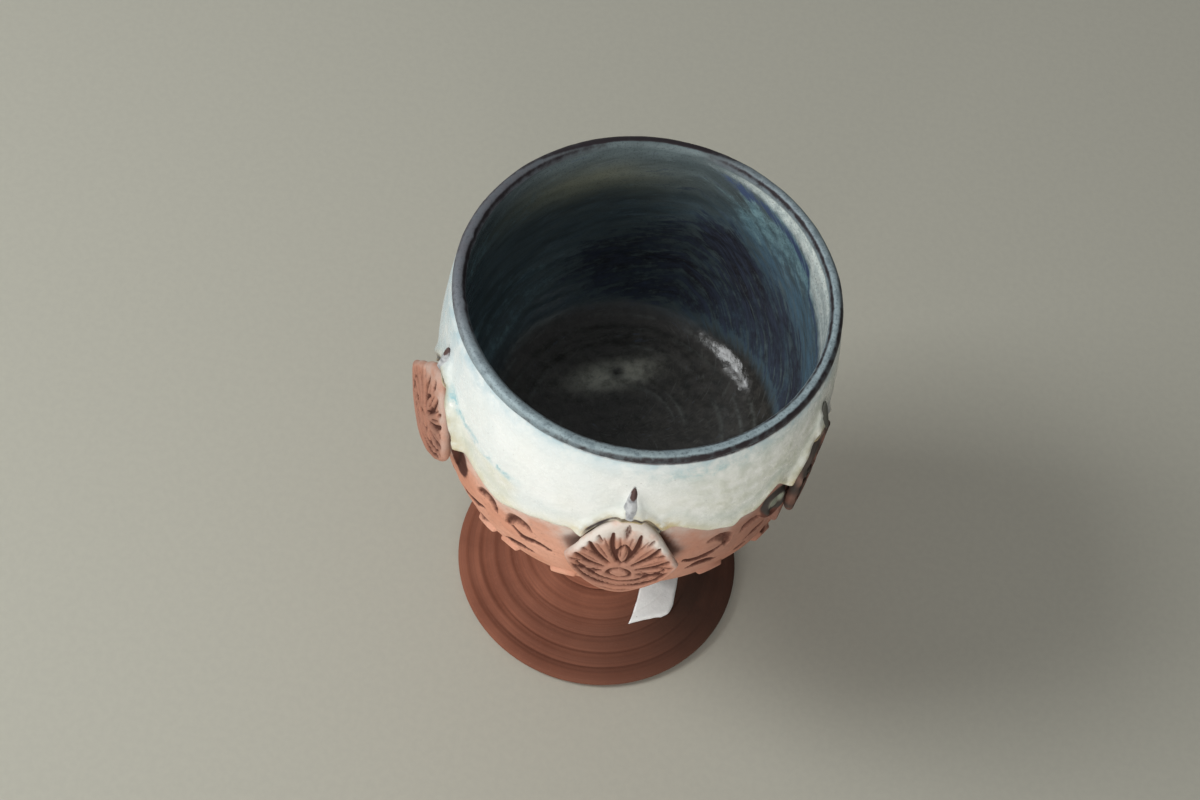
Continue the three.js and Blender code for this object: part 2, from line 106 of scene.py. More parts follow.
# Azimuth and drop below the belly, how each one is lifted, swung, turned and leant, the slip pad's shift,
# the glaze lapped over an edge, how torn the edge is, and the shares of dark tone with painted shade, haze
# and char
USUAL = {"lean": 6.0, "pad_side": 0.0, "lap": 0.0, "torn": 2.0, "char": 0.0}
MEDALLIONS = [
    dict(USUAL, side="front", azimuth=6.6, drop=7.2, lift=0, swing=0, turn=-1.5, tone=0.46, haze=1),
    # The right medallion stands in shade: its dark tone and char are partly painted shade
    dict(USUAL, side="right", azimuth=72, drop=5.2, lift=-1.6, swing=3.8, turn=4, tone=0.9, haze=0.6,
         lean=0, pad_side=-8, lap=-0.6, torn=5, char=0.58),
    dict(USUAL, side="back_right", azimuth=145, drop=6, lift=0.3, swing=-2, turn=2, tone=0.3, haze=0.7),
    dict(USUAL, side="back_left", azimuth=-138, drop=5.6, lift=0.4, swing=2, turn=-3, tone=0.4, haze=0.7),
    dict(USUAL, side="left", azimuth=-65, drop=3.6, lift=1.1, swing=3.5, turn=-6, tone=0.6, haze=0.5,
         lap=1),
]
for medallion in MEDALLIONS:
    medallion["height"] = BELLY - medallion["drop"]
THORN_HALF_WIDTH = 2.4
THORN_HALF_DEPTH = 2.0
THORN_TIP = LIP - 8.2
THORN_TIP_PROUD = 1.1
PAD_HALF_WIDTH = 7.0
PAD_HALF_HEIGHT = 4.5
PAD_DROP = 6.8
PAD_DEPTH = 6.0


# Curves and fields

def curve(start, hand_out, hand_in, end, steps):
    """Points of radius and height on one cubic curve"""
    knots = [Vector((*point, 0)) for point in (start, hand_out, hand_in, end)]
    return [(point.x, point.y) for point in geometry.interpolate_bezier(*knots, steps)]


def bend(start, hand, end, steps):
    """The same with one shared hand, as a quadratic curve"""
    start, hand, end = (np.array(point) for point in (start, hand, end))
    return curve(start, start + (hand - start) * 2 / 3, end + (hand - end) * 2 / 3, end, steps)


def arc(middle, height, radius, start, end, steps):
    """Points of radius and height on part of a circle"""
    turns = np.linspace(start, end, steps)
    return [(middle + radius * math.cos(a), height + radius * math.sin(a)) for a in turns]


def lerp(a, b, share):
    return a + (b - a) * share


def within(value):
    return np.clip(value, 0, 1)


def ease(value, start, end):
    """0 before start, 1 after end, and smooth between them"""
    share = within((value - start) / (end - start))
    return share * share * (3 - 2 * share)


def near(value, middle, reach):
    """1 at the middle, fading to nothing over a reach to both sides"""
    return np.exp(-((value - middle) / reach) ** 2)


def fading(gap, reach):
    """1 up to an edge, then fading to nothing over a reach"""
    return np.exp(-np.maximum(gap, 0) / reach)


def wave(value, pitch):
    return np.sin(2 * math.pi * value / pitch)


def azimuth_of(points):
    return np.degrees(np.arctan2(points[:, 0], -points[:, 1]))


def radius_of(points):
    return np.linalg.norm(points[:, :2], axis=1)


def turned_by(azimuth, start):
    """Azimuth counted from another one, between -180 and 180"""
    return (azimuth - start + 180) % 360 - 180


def facing(azimuth, middle, reach):
    """1 at an azimuth, fading to nothing over a reach to both sides"""
    return near(turned_by(azimuth, middle), 0, reach)


def along_wall(azimuth, start):
    """Distance round the bowl from an azimuth"""
    return np.radians(turned_by(azimuth, start)) * BELLY_RADIUS


def around(azimuth, points):
    """A value that follows a few given ones round the axis"""
    turns, values = zip(*points)
    return np.interp(azimuth, turns, values, period=360)


def on_wheel(azimuth, radius, height):
    angle = np.radians(azimuth)
    return np.stack([radius * np.sin(angle), -radius * np.cos(angle), height], axis=1)


def fan(angle, reach):
    """Flat places at a reach from the middle"""
    return np.stack([reach * np.cos(angle), reach * np.sin(angle)], axis=1)


def lifted(flat, height=0.0):
    """Flat places moved up to a height"""
    return np.column_stack([flat, np.broadcast_to(height, len(flat))])


def angle_of(flat):
    return np.arctan2(flat[:, 1], flat[:, 0])


def reach_of(outline):
    """How far an outline lies from its middle, for every angle round it"""
    angles = angle_of(outline)
    order = np.argsort(angles)
    reach = np.linalg.norm(outline, axis=1)[order]
    return lambda angle: np.interp(angle, angles[order], reach, period=math.tau)


def lumps(points, size, shift=0.0):
    """Soft random bumps of about one size, from -1 to 1"""
    away = Vector((shift, -shift, shift / 2))
    return np.array([noise.noise(Vector(point) / size + away) for point in points])


def wall_lumps(azimuth, height, size, stretch, shift):
    """Random bumps on the bowl's wall, drawn out by a stretch along its height"""
    wall = on_wheel(azimuth, 1, height / (BELLY_RADIUS * stretch))
    return lumps(wall * BELLY_RADIUS, size, shift)


def smooth_path(points, steps=6):
    """A polyline drawn smoothly through a few points"""
    points = np.array(points, float)
    padded = np.vstack([2 * points[0] - points[1], points, 2 * points[-1] - points[-2]])
    path = []
    for a, b, c, d in zip(padded, padded[1:], padded[2:], padded[3:]):
        path += curve(b, b + (c - a) / 6, c - (d - b) / 6, c, steps + 1)[:-1]
    return np.array(path + [tuple(points[-1])])


def stroke(places, path, half_width, blunt):
    """1 on the middle of a stroke, falling to 0 at its edges and thinning to blunt ends"""
    path = smooth_path(path)
    best = np.zeros(len(places))
    count = len(path) - 1
    for i, (a, b) in enumerate(zip(path, path[1:])):
        along = b - a
        share = within((places - a) @ along / (along @ along))
        gap = np.linalg.norm(places - a - share[:, None] * along, axis=1)
        width = half_width * (blunt + (1 - blunt) * np.sin(math.pi * (i + share) / count))
        best = np.maximum(best, 1 - (gap / np.maximum(width, 0.05)) ** 2)
    return within(best)


# The bowl's outside

WALL = np.array(
    curve(
        (UNDERSIDE_RADIUS, UNDERSIDE),
        (lerp(UNDERSIDE_RADIUS, BELLY_RADIUS, HAUNCH_REACH), UNDERSIDE),
        (BELLY_RADIUS, lerp(BELLY, UNDERSIDE, HAUNCH_FULLNESS)),
        (BELLY_RADIUS, BELLY),
        160,
    )
    + bend((BELLY_RADIUS, BELLY), (BELLY_RADIUS, HALF_UP), (RIM_RADIUS, LIP), 80)[1:]
)
WALL_LENGTH = np.concatenate([[0], np.cumsum(np.linalg.norm(np.diff(WALL, axis=0), axis=1))])


def wall_radius(height):
    return np.interp(height, WALL[:, 1], WALL[:, 0])


def wall_length(height):
    """Distance along the wall from the edge of the underside"""
    return np.interp(height, WALL[:, 1], WALL_LENGTH)


# Making and finishing pieces

# A turned piece is spun in one sector, which is then spun round as copies: much quicker than one long spin
SECTORS = 20


def turn(section, steps, closed=False):
    """Turns a section of radius and height about the axis, as on a wheel"""
    bm = bmesh.new()
    points = [bm.verts.new((radius, 0, height)) for radius, height in section]
    edges = [bm.edges.new(pair) for pair in zip(points, points[1:])]
    if closed:
        edges.append(bm.edges.new((points[-1], points[0])))
    sector = math.tau / SECTORS
    wheel = {"cent": (0, 0, 0), "axis": (0, 0, 1)}
    bmesh.ops.spin(bm, geom=points + edges, angle=sector, steps=steps // SECTORS, **wheel)
    whole = bm.verts[:] + bm.edges[:] + bm.faces[:]
    bmesh.ops.spin(bm, geom=whole, angle=math.tau - sector, steps=SECTORS - 1, use_duplicate=True, **wheel)
    bmesh.ops.remove_doubles(bm, verts=bm.verts, dist=1e-3)
    return bm


def places_of(bm):
    return np.array([vert.co for vert in bm.verts])


def move_to(bm, places):
    for vert, place in zip(bm.verts, places):
        vert.co = place


def widen(places, factor):
    """Moves places away from the axis or towards it"""
    places[:, :2] *= factor[:, None]


def paint(bm, **fields):
    """Keeps a number under each name at every corner, for the finish to read"""
    for name, values in fields.items():
        layer = bm.verts.layers.float.new(name)
        for vert, value in zip(bm.verts, np.broadcast_to(values, len(bm.verts))):
            vert[layer] = float(value)


def seat_on_wall(places, gap):
    """Pushes every place out to the bowl's outside where it lies inside"""
    least = wall_radius(places[:, 2]) + gap
    grow = np.maximum(least / np.maximum(radius_of(places), 1e-6), 1)
    return places * np.stack([grow, grow, np.ones_like(grow)], axis=1)


def show(name, data):
    """Puts a mesh, a lamp or a camera into the scene"""
    shown = bpy.data.objects.new(name, data)
    bpy.context.collection.objects.link(shown)
    return shown


def show_mesh(bm, name, finish):
    mesh = bpy.data.meshes.new(name)
    bm.to_mesh(mesh)
    bm.free()
    mesh.materials.append(finish)
    return show(name, mesh)


def finish_piece(bm, name, finish, node):
    bmesh.ops.recalc_face_normals(bm, faces=bm.faces)
    bmesh.ops.scale(bm, vec=(MM, MM, MM), verts=bm.verts)
    piece = show_mesh(bm, name, finish)
    piece.data.shade_smooth()
    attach(piece, "root")
    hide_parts(node)


# Finishes

# Sockets of the mix node for its share, its two colours and its result
MIX_SHARE = 0
MIX_COLOURS = (6, 7)
MIX_RESULT = 2


class Nodes:
    """A tree of shader nodes"""

    def __init__(self, owner):
        owner.use_nodes = True
        self.tree = owner.node_tree
        self.tree.nodes.clear()

    def add(self, kind, settings=None, **inputs):
        node = self.tree.nodes.new(kind)
        for key, value in (settings or {}).items():
            setattr(node, key, value)
        for key, value in inputs.items():
            self.feed(node.inputs[key.replace("_", " ")], value)
        return node

    def feed(self, socket, value):
        if isinstance(value, bpy.types.NodeSocket):
            self.tree.links.new(value, socket)
        else:
            socket.default_value = value

    def calc(self, operation, a, b=0.0):
        node = self.add("ShaderNodeMath", {"operation": operation})
        self.feed(node.inputs[0], a)
        self.feed(node.inputs[1], b)
        return node.outputs["Value"]


class Finish(Nodes):
    """One procedural finish, built node by node"""

    def __init__(self, name):
        self.material = bpy.data.materials.new(name)
        super().__init__(self.material)
        self.place = self.add("ShaderNodeTexCoord").outputs["Object"]

    def mask(self, name, kind="Fac"):
        """A number painted on the piece, or a place for a pattern that follows its surface"""
        return self.add("ShaderNodeAttribute", {"attribute_name": name}).outputs[kind]

    def speckle(self, size, detail=4.0, roughness=0.55, place=None):
        """Noise with features of a size in millimetres"""
        return self.add(
            "ShaderNodeTexNoise", Vector=place or self.place,
            Scale=1 / (size * MM), Detail=detail, Roughness=roughness,
        ).outputs["Fac"]

    def dots(self, size):
        """Distance from the nearest of scattered dots"""
        node = self.add("ShaderNodeTexVoronoi", Vector=self.place, Scale=1 / (size * MM))
        return node.outputs["Distance"]

    def level(self, value, low, high, bottom=0.0, top=1.0):
        """A value spread smoothly from one range to another"""
        return self.add(
            "ShaderNodeMapRange", {"interpolation_type": "SMOOTHSTEP"},
            Value=value, From_Min=low, From_Max=high, To_Min=bottom, To_Max=top,
        ).outputs["Result"]

    def swing(self, pattern, reach):
        """A pattern that swings about 0"""
        return self.level(pattern, 0.3, 0.7, -reach, reach)

    def plus(self, *values):
        result = values[0]
        for value in values[1:]:
            result = self.calc("ADD", result, value)
        return result

    def broken(self, name, *levels):
        """A painted number broken up by a pattern and its levels"""
        return self.calc("MULTIPLY", self.mask(name), self.level(*levels))

    def edged(self, name, ragged, low, high):
        """A painted number with a ragged edge between two levels"""
        return self.level(self.plus(self.mask(name), ragged), low, high)

    def blend(self, share, *colours):
        node = self.add("ShaderNodeMix", {"data_type": "RGBA"})
        self.feed(node.inputs[MIX_SHARE], share)
        for index, colour in zip(MIX_COLOURS, colours):
            self.feed(node.inputs[index], (*colour, 1.0) if isinstance(colour, tuple) else colour)
        return node.outputs[MIX_RESULT]

    def layers(self, colour, *coats):
        """A colour with coats over it, each a share and a colour of its own"""
        for share, coat in coats:
            colour = self.blend(share, colour, coat)
        return colour

    def bumps(self, *layers):
        """Stacks layers of a height and its depth in millimetres into one surface"""
        normal = None
        for height, depth in layers:
            node = self.add("ShaderNodeBump", Height=height, Distance=depth * MM, Strength=1.0)
            if normal:
                self.feed(node.inputs["Normal"], normal)
            normal = node.outputs["Normal"]
        return normal

    def done(self, colour, roughness, normal, **others):
        shader = self.add(
            "ShaderNodeBsdfPrincipled", Base_Color=colour, Roughness=roughness, Normal=normal, **others
        )
        self.add("ShaderNodeOutputMaterial", Surface=shader.outputs["BSDF"])
        return self.material


def pale_clay():
    """Bare pinkish clay with grog, iron in the stamped marks, a grey haze below the glaze, and painted
    shade on its shaded side, beside the medallions and in the pocket
    """
    make = Finish("pale_clay")
    broad = make.speckle(14, 3)
    fine = make.speckle(1.1, 5, 0.65)
    haze = make.broken("haze", make.speckle(4, 5), 0.25, 0.7, 0.45, 1.2)
    pool = make.level(make.mask("pool"), 0.35, 0.6)
    colour = make.layers(
        make.blend(make.level(broad, 0.35, 0.65), (0.585, 0.27, 0.175), (0.67, 0.35, 0.245)),
        (make.level(fine, 0.45, 0.75, 0, 0.5), (0.46, 0.21, 0.138)),
        (make.level(make.dots(1.9), 0.10, 0.16, 0.55, 0), (0.34, 0.17, 0.12)),
        (make.level(haze, 0.0, 1.1), (0.72, 0.655, 0.59)),
        # Painted shade on the shaded side and beside the medallions, and darker tone on some medallions
        (make.broken("tone", broad, 0.25, 0.75, 0.8, 1.15), (0.20, 0.095, 0.068)),
        # Iron stain in marks and ornament, with painted shade in the pocket and on the right medallion
        (make.edged("stain", make.swing(fine, 0.1), 0.1, 0.8), (0.095, 0.035, 0.024)),
        # Dark char round the pool, and char with painted shade on the right medallion
        (make.edged("char", make.swing(broad, 0.15), 0.1, 0.9), (0.05, 0.042, 0.036)),
        (pool, (0.21, 0.225, 0.175)),
    )
    normal = make.bumps((make.speckle(4, 4), 0.12), (fine, 0.07))
    return make.done(colour, make.level(pool, 0, 1, 0.84, 0.25), normal, Specular_IOR_Level=0.2)


def dark_clay():
    """Bare red-brown clay with fine throwing lines, darkened by painted shade where the foot lies in
    shadow
    """
    make = Finish("dark_clay")
    place = make.add("ShaderNodeSeparateXYZ", Vector=make.place).outputs
    square = make.plus(make.calc("POWER", place["X"], 2.0), make.calc("POWER", place["Y"], 2.0))
    rings = make.add("ShaderNodeCombineXYZ", X=make.calc("SQRT", square), Y=place["Z"], Z=0.0)
    lines = make.speckle(0.7, 3, 0.6, rings.outputs["Vector"])
    broad = make.speckle(18, 4)
    fine = make.speckle(0.8, 4, 0.6)
    colour = make.layers(
        make.blend(make.level(broad, 0.3, 0.7), (0.225, 0.08, 0.047), (0.31, 0.116, 0.069)),
        (make.level(lines, 0.35, 0.65, 0, 0.35), (0.165, 0.064, 0.042)),
        (make.level(fine, 0.5, 0.8, 0, 0.35), (0.33, 0.145, 0.10)),
        # Painted shade over the foot's shadowed side
        (make.broken("tone", broad, 0.25, 0.75, 0.85, 1.1), (0.06, 0.032, 0.023)),
    )
    normal = make.bumps((lines, 0.09), (fine, 0.06))
    return make.done(colour, make.level(fine, 0.3, 0.7, 0.68, 0.86), normal, Specular_IOR_Level=0.12)


def white_glaze():
    """Satin white glaze that breaks to cream and ochre at its edge and to blue below the rim, greyed on
    the right by thin glaze and painted shade
    """
    make = Finish("white_glaze")
    clouds = make.speckle(11, 5, 0.6)
    wisps = make.speckle(3.2, 5, 0.62)
    fine = make.speckle(0.6, 3)
    sea = make.calc("MULTIPLY", make.broken("sea", wisps, 0.4, 0.62), make.level(fine, 0.3, 0.6, 0.4, 1.0))
    colour = make.layers(
        make.blend(make.level(clouds, 0.35, 0.7), (0.85, 0.86, 0.83), (0.78, 0.805, 0.78)),
        (make.mask("clean"), (0.92, 0.925, 0.90)),
        (make.broken("warm", wisps, 0.3, 0.7, 0.45, 1.0), (0.70, 0.66, 0.49)),
        # Grey-green over the right side: thin glaze, partly painted shade
        (make.broken("murky", wisps, 0.36, 0.66, 0.15, 0.9), (0.47, 0.50, 0.395)),
        (make.broken("cool", wisps, 0.3, 0.65, 0.35, 1.0), (0.47, 0.59, 0.63)),
        (make.broken("ochre", wisps, 0.36, 0.6, 0.15, 1.0), (0.50, 0.37, 0.15)),
        (sea, (0.27, 0.50, 0.54)),
        (make.broken("slate", wisps, 0.3, 0.55, 0.5, 1.0), (0.24, 0.26, 0.29)),
        (make.level(make.broken("iron", wisps, 0.25, 0.6, 0.75, 1.1), 0.1, 0.9), (0.05, 0.037, 0.042)),
        (make.level(make.dots(3.1), 0.04, 0.075, 0.5, 0), (0.40, 0.40, 0.36)),
    )
    normal = make.bumps((clouds, 0.35), (wisps, 0.12), (fine, 0.015))
    return make.done(colour, make.level(wisps, 0.3, 0.7, 0.2, 0.36), normal, IOR=1.5)


def blue_glaze():
    """Glossy glaze, nearly black on the floor, streaked blue and violet, breaking to cream at the rim,
    with a painted reflection and painted ring highlights on the floor
    """
    make = Finish("blue_glaze")
    drawn = make.mask("flow", "Vector")
    streaks = make.speckle(1.3, 6, 0.66, drawn)
    brush = make.speckle(5, 5, 0.6, drawn)
    clouds = make.speckle(15, 4, 0.6)
    mottle = make.speckle(2.6, 5, 0.68)
    fine = make.speckle(0.5, 3, 0.7)
    uneven = make.level(mottle, 0.35, 0.65)
    ragged = make.plus(make.swing(mottle, 0.16), make.swing(brush, 0.3))
    strokes = make.plus(make.swing(brush, 0.22), make.swing(streaks, 0.4), make.swing(mottle, 0.14))
    scratches = make.level(streaks, 0.56, 0.68, 0, 0.35)
    floor = make.layers(
        make.blend(make.level(mottle, 0.35, 0.7), (0.042, 0.039, 0.035), (0.08, 0.073, 0.064)),
        (scratches, (0.16, 0.16, 0.145)),
        # Painted highlights along the floor's rings
        (make.broken("rings", mottle, 0.35, 0.6, 0.2, 1.0), (0.125, 0.13, 0.118)),
        # Painted reflection of the pale ceiling on the floor
        (make.level(make.broken("film", mottle, 0.25, 0.65, 0.55, 1.1), 0.0, 1.1), (0.66, 0.64, 0.53)),
    )
    shallow = make.blend(uneven, (0.18, 0.32, 0.37), (0.32, 0.50, 0.53))
    deep = make.blend(make.level(streaks, 0.4, 0.65), (0.032, 0.028, 0.036), (0.066, 0.08, 0.12))
    pale = make.blend(uneven, (0.80, 0.90, 0.86), (0.90, 0.96, 0.90))
    specks = make.plus(make.level(mottle, 0.3, 0.7, 0.8, 1.2), make.swing(fine, 0.26))
    torn = make.calc("MULTIPLY", make.mask("cream"), specks)
    band = make.layers(
        make.blend(uneven, (0.16, 0.205, 0.225), (0.31, 0.38, 0.39)),
        (make.broken("lilac", mottle, 0.3, 0.6, 0.6, 1), (0.145, 0.136, 0.155)),
        (make.broken("dim", mottle, 0.3, 0.6, 0.75, 1), (0.045, 0.04, 0.04)),
        (make.broken("bright", mottle, 0.3, 0.6, 0.3, 0.9), (0.40, 0.50, 0.53)),
        (make.level(fine, 0.52, 0.68, 0, 0.65), (0.08, 0.095, 0.11)),
    )
    colour = make.layers(
        make.blend(make.level(brush, 0.3, 0.7), (0.09, 0.115, 0.12), (0.168, 0.213, 0.218)),
        (scratches, (0.27, 0.33, 0.34)),
        (make.mask("floor"), floor),
        (make.broken("warm", clouds, 0.3, 0.6, 0.5, 1.0), (0.47, 0.475, 0.345)),
        (make.edged("sea", ragged, 0.34, 1.1), shallow),
        (make.broken("indigo", streaks, 0.36, 0.62, 0.1, 0.9), (0.12, 0.23, 0.325)),
        (make.edged("violet", strokes, 0.3, 1.05), deep),
        (make.edged("cobalt", strokes, 0.4, 1.1), (0.08, 0.115, 0.215)),
        (make.level(torn, 0.12, 0.92), pale),
        (make.broken("pores", fine, 0.5, 0.68, 0, 0.7), (0.07, 0.085, 0.088)),
        (make.mask("lip"), band),
        (make.edged("iron", make.level(mottle, 0.3, 0.7, -0.25, 0.2), 0.1, 0.95), (0.031, 0.025, 0.028)),
    )
    normal = make.bumps((brush, 0.08), (streaks, 0.03), (mottle, 0.07), (fine, 0.012))
    crest = make.mask("crest")
    rough = make.plus(make.level(mottle, 0.3, 0.7, 0.1, 0.24), make.level(crest, 0.2, 1.0, 0, 0.28))
    sheen = make.level(crest, 0.2, 1.0, 0.5, 0.14)
    return make.done(colour, rough, normal, IOR=1.5, Specular_IOR_Level=sheen)


def thorn_glaze():
    """White glaze thinning to bare red clay at the tip, darkened on the right thorn by char and painted
    shade
    """
    make = Finish("thorn_glaze")
    wisps = make.speckle(1.6, 5, 0.6)
    bare = make.edged("bare", make.swing(wisps, 0.2), 0.35, 0.7)
    colour = make.layers(
        make.blend(make.level(wisps, 0.35, 0.7), (0.54, 0.55, 0.56), (0.25, 0.255, 0.27)),
        (bare, make.blend(make.mask("char"), (0.075, 0.036, 0.032), (0.05, 0.05, 0.04))),
    )
    return make.done(colour, make.level(bare, 0, 1, 0.28, 0.6), make.bumps((wisps, 0.12)), IOR=1.5)


PALE_CLAY = pale_clay()
DARK_CLAY = dark_clay()
WHITE_GLAZE = white_glaze()
BLUE_GLAZE = blue_glaze()
THORN_GLAZE = thorn_glaze()


# Foot, stem and joint coils

# How strong the ridges are round the foot, and how much painted shade darkens its clay where the bowl's
# shadow falls
RIDGE_SHARE = [(-150, 0.8), (-90, 1), (-60, 0.95), (-25, 0.5), (10, 0.32), (60, 0.4), (120, 0.7)]
FOOT_TONE = [
    (-110, 0), (-60, 0.05), (-20, 0.3), (10, 0.48), (40, 0.7), (70, 0.95), (110, 0.85), (150, 0.5),
    (180, 0.2),
]
# Radii of the lines scored into the front of the foot, and their depth
SCORED_RINGS = (36.4, 32.2, 27.8, 23.4)
SCORED_DEPTH = 0.3


def foot_slope(radius):
    share = within((radius - HUB_RADIUS) / (FOOT_RADIUS - FOOT_EDGE / 2 - HUB_RADIUS))
    return FOOT_EDGE + (HUB_TOP - FOOT_EDGE) * (1 - share) ** FOOT_SWEEP


def foot_ridges(azimuth, radius):
    """Height of the throwing ridges, which wander a little round the foot"""
    angle = np.radians(azimuth)
    wander = 0.28 * np.sin(angle + 0.6) + 0.14 * np.sin(3 * angle + 2.0)
    turns = 2 * math.pi * ((radius + wander - RIDGE_CREST) / RIDGE_PITCH)
    swell = 0.5 + 0.5 * np.cos(turns + 0.7 * np.sin(turns))
    inside = ease(radius, HUB_RADIUS + 0.8, HUB_RADIUS + 3.6)
    outside = 1 - ease(radius, FOOT_RADIUS - 2.6, FOOT_RADIUS - 1.2)
    cut = sum(SCORED_DEPTH * near(radius + wander, ring, 0.28) for ring in SCORED_RINGS)
    scored = ease(np.cos(angle - 0.3), 0.1, 0.8)
    strong = around(azimuth, RIDGE_SHARE)
    return (RIDGE_HEIGHT * strong * swell ** 0.8 - cut * scored) * inside * outside


def make_foot():
    edge = FOOT_EDGE / 2
    shoulder = FOOT_RADIUS - edge
    section = [(radius, 0) for radius in np.linspace(0, shoulder - 0.4, 8)]
    section += arc(shoulder, edge, edge, -math.pi / 2, math.pi / 2, 14)
    section += [(radius, foot_slope(radius)) for radius in np.arange(shoulder - 0.3, HUB_RADIUS, -0.3)]
    section += [(HUB_RADIUS, HUB_TOP), (HUB_RADIUS - 2, HUB_TOP), (8, HUB_TOP), (0, HUB_TOP)]
    bm = turn(section, 320)
    places = places_of(bm)
    azimuth, radius = azimuth_of(places), radius_of(places)
    uneven = 0.05 * lumps(places, 5) * ease(radius, 16, 19)
    places[:, 2] += (places[:, 2] > edge) * (foot_ridges(azimuth, radius) + uneven)
    swell = 1 - 0.004 * (0.5 + 0.5 * lumps(places, 30))
    widen(places, np.where(radius > 20, swell, 1))
    places[:, 2] = np.clip(places[:, 2], 0, HUB_TOP)
    move_to(bm, places)
    # Painted shade: the foot's clay darkened on the side that lies in the bowl's shadow
    paint(bm, tone=around(azimuth, FOOT_TONE) * ease(radius, 10, 30))
    finish_piece(bm, "turned_foot", DARK_CLAY, "foot")


def make_stem():
    bottom, top = stem_low[2], stem_high[2]
    low, high = bottom + STEM_LAND, top - STEM_LAND
    waist = lerp(low, high, STEM_WAIST_SHARE)
    narrow = (STEM_WAIST_RADIUS, waist)
    section = [(0, bottom), (STEM_BASE_RADIUS, bottom)]
    section += bend((STEM_BASE_RADIUS, low), (STEM_WAIST_RADIUS, lerp(low, waist, STEM_FLARE)), narrow, 40)
    section += bend(
        narrow, (STEM_WAIST_RADIUS, lerp(high, waist, STEM_FLARE)), (STEM_TOP_RADIUS, high), 40
    )[1:]
    section += [(STEM_TOP_RADIUS, top), (0, top)]
    bm = turn(section, 140)
    places = places_of(bm)
    height = places[:, 2]
    free = ease(height, low, low + 3) * (1 - ease(height, high - 3, high))
    rise = wave(height + azimuth_of(places) / 360 * STEM_SPIRAL, STEM_SPIRAL)
    widen(places, 1 - 0.014 * free * (0.5 - 0.5 * rise))
    widen(places, 1 - 0.006 * (0.5 + 0.5 * lumps(places, 9)))
    move_to(bm, places)
    finish_piece(bm, "turned_stem", DARK_CLAY, "stem")


def make_coil(name, node, stem_radius, growth):
    """Soft clay round an end of the stem, thinning up it or down it by the sign of its growth"""
    low, high = corners(node)
    ends = (low[2], high[2]) if growth > 0 else (high[2], low[2])
    inside = stem_radius + 0.05
    outside = stem_radius + COIL_WIDTH
    thin = inside + 0.45
    section = [(0, 0), (outside - 0.35, 0)]
    section += bend((outside - 0.3, 0), (outside + 0.1, 0.1), (outside - 0.25, 0.25), 5)
    section += bend((outside - 0.3, 0.28), (thin, 0.4), (thin, 0.93), 9)
    section += [(inside + 0.2, 1), (inside, 0.95), (inside, 0.3), (0, 0.28)]
    bm = turn([(radius, lerp(*ends, share)) for radius, share in section], 140)
    places = places_of(bm)
    widen(places, 1 - 0.02 * (0.5 + 0.5 * lumps(places, 5)) * ease(radius_of(places), inside, outside))
    move_to(bm, places)
    finish_piece(bm, name, DARK_CLAY, node)


# The white coat's lower edge, and the stamped marks below it

COAT_TOP = LIP - 0.1
EDGE_POINTS = [
    (-180, 100.5), (-166, 102.5), (-152, 104), (-122, 104), (-113, 101), (-101, 98.5), (-90, 101),
    (-82, 104), (-60, 104), (-57, 106.2), (-54, 106.8), (-51, 106.4), (-46.7, 105.4), (-40.3, 102.8),
    (-34, 100.3), (-28.5, 100.9), (-23.5, 103.1), (-15.5, 105.4), (-7.4, 106.2), (-5.2, 104.6),
    (0, 107), (14, 109), (19.4, 112.8), (25.5, 109.8), (31.3, 107.3), (38.2, 105), (40.5, 107.2),
    (44.9, 107.5), (47.7, 109.6), (50.5, 112.2), (53.2, 112.7), (59.7, 106.8), (72, 104), (88, 104),
    (97, 101), (108, 99.5), (120, 101.5), (130, 104.5), (161, 104), (170, 101),
]
# How far the coat's edge is tucked under a medallion
SLAB_TUCK = 1.6


def slab_outline():
    """Half outline of a medallion as places across and up, from its foot to the tip of its dome"""
    corner = (SLAB_HALF, 0)
    heel_hands = (0.42 * SLAB_HALF, -SLAB_FALL), (0.96 * SLAB_HALF, -0.4 * SLAB_FALL)
    dome_hands = (0.68 * SLAB_HALF, 0.42 * SLAB_RISE), (0.38 * SLAB_HALF, SLAB_RISE)
    heel = curve((0, -SLAB_FALL), *heel_hands, corner, 24)
    dome = curve(corner, *dome_hands, (0, SLAB_RISE), 24)
    return np.array(heel + dome[1:])


OUTLINE = slab_outline()
DOME = OUTLINE[OUTLINE[:, 1] >= 0][::-1]
slab_reach = reach_of(np.vstack([OUTLINE, OUTLINE[::-1] * (-1, 1)]))


def slab_place(medallion, azimuth, height):
    """Place of a point of the wall across and up a medallion"""
    across = np.radians(turned_by(azimuth, medallion["azimuth"])) * (BELLY_RADIUS + 1)
    up = height - medallion["height"]
    tilt = math.radians(medallion["turn"])
    return np.stack([
        across * math.cos(tilt) + up * math.sin(tilt),
        up * math.cos(tilt) - across * math.sin(tilt),
    ], axis=1)


def coat_edge(azimuth):
    """Height of the white coat's lower edge"""
    points = np.array(EDGE_POINTS, float)
    looped = np.vstack([points[-2:] - (360, 0), points, points[:2] + (360, 0)])
    path = smooth_path(looped, 8)
    height = np.interp(azimuth, path[:, 0], path[:, 1])
    for medallion in MEDALLIONS:
        across = slab_place(medallion, azimuth, medallion["height"])[:, 0]
        dome = np.interp(np.abs(across), DOME[:, 0], DOME[:, 1], right=-99)
        height = np.maximum(height, medallion["height"] + dome - SLAB_TUCK)
    angle = np.radians(azimuth)
    return height + 0.3 * np.sin(17 * angle + 1) * np.sin(5 * angle) + 0.2 * np.sin(41 * angle + 2)


def slab_gap(azimuth, height):
    """Distance from the nearest medallion's outline, less than 0 inside it"""
    gaps = []
    for medallion in MEDALLIONS:
        local = slab_place(medallion, azimuth, height)
        gaps.append(np.linalg.norm(local, axis=1) - slab_reach(angle_of(local)))
    return np.min(gaps, axis=0)


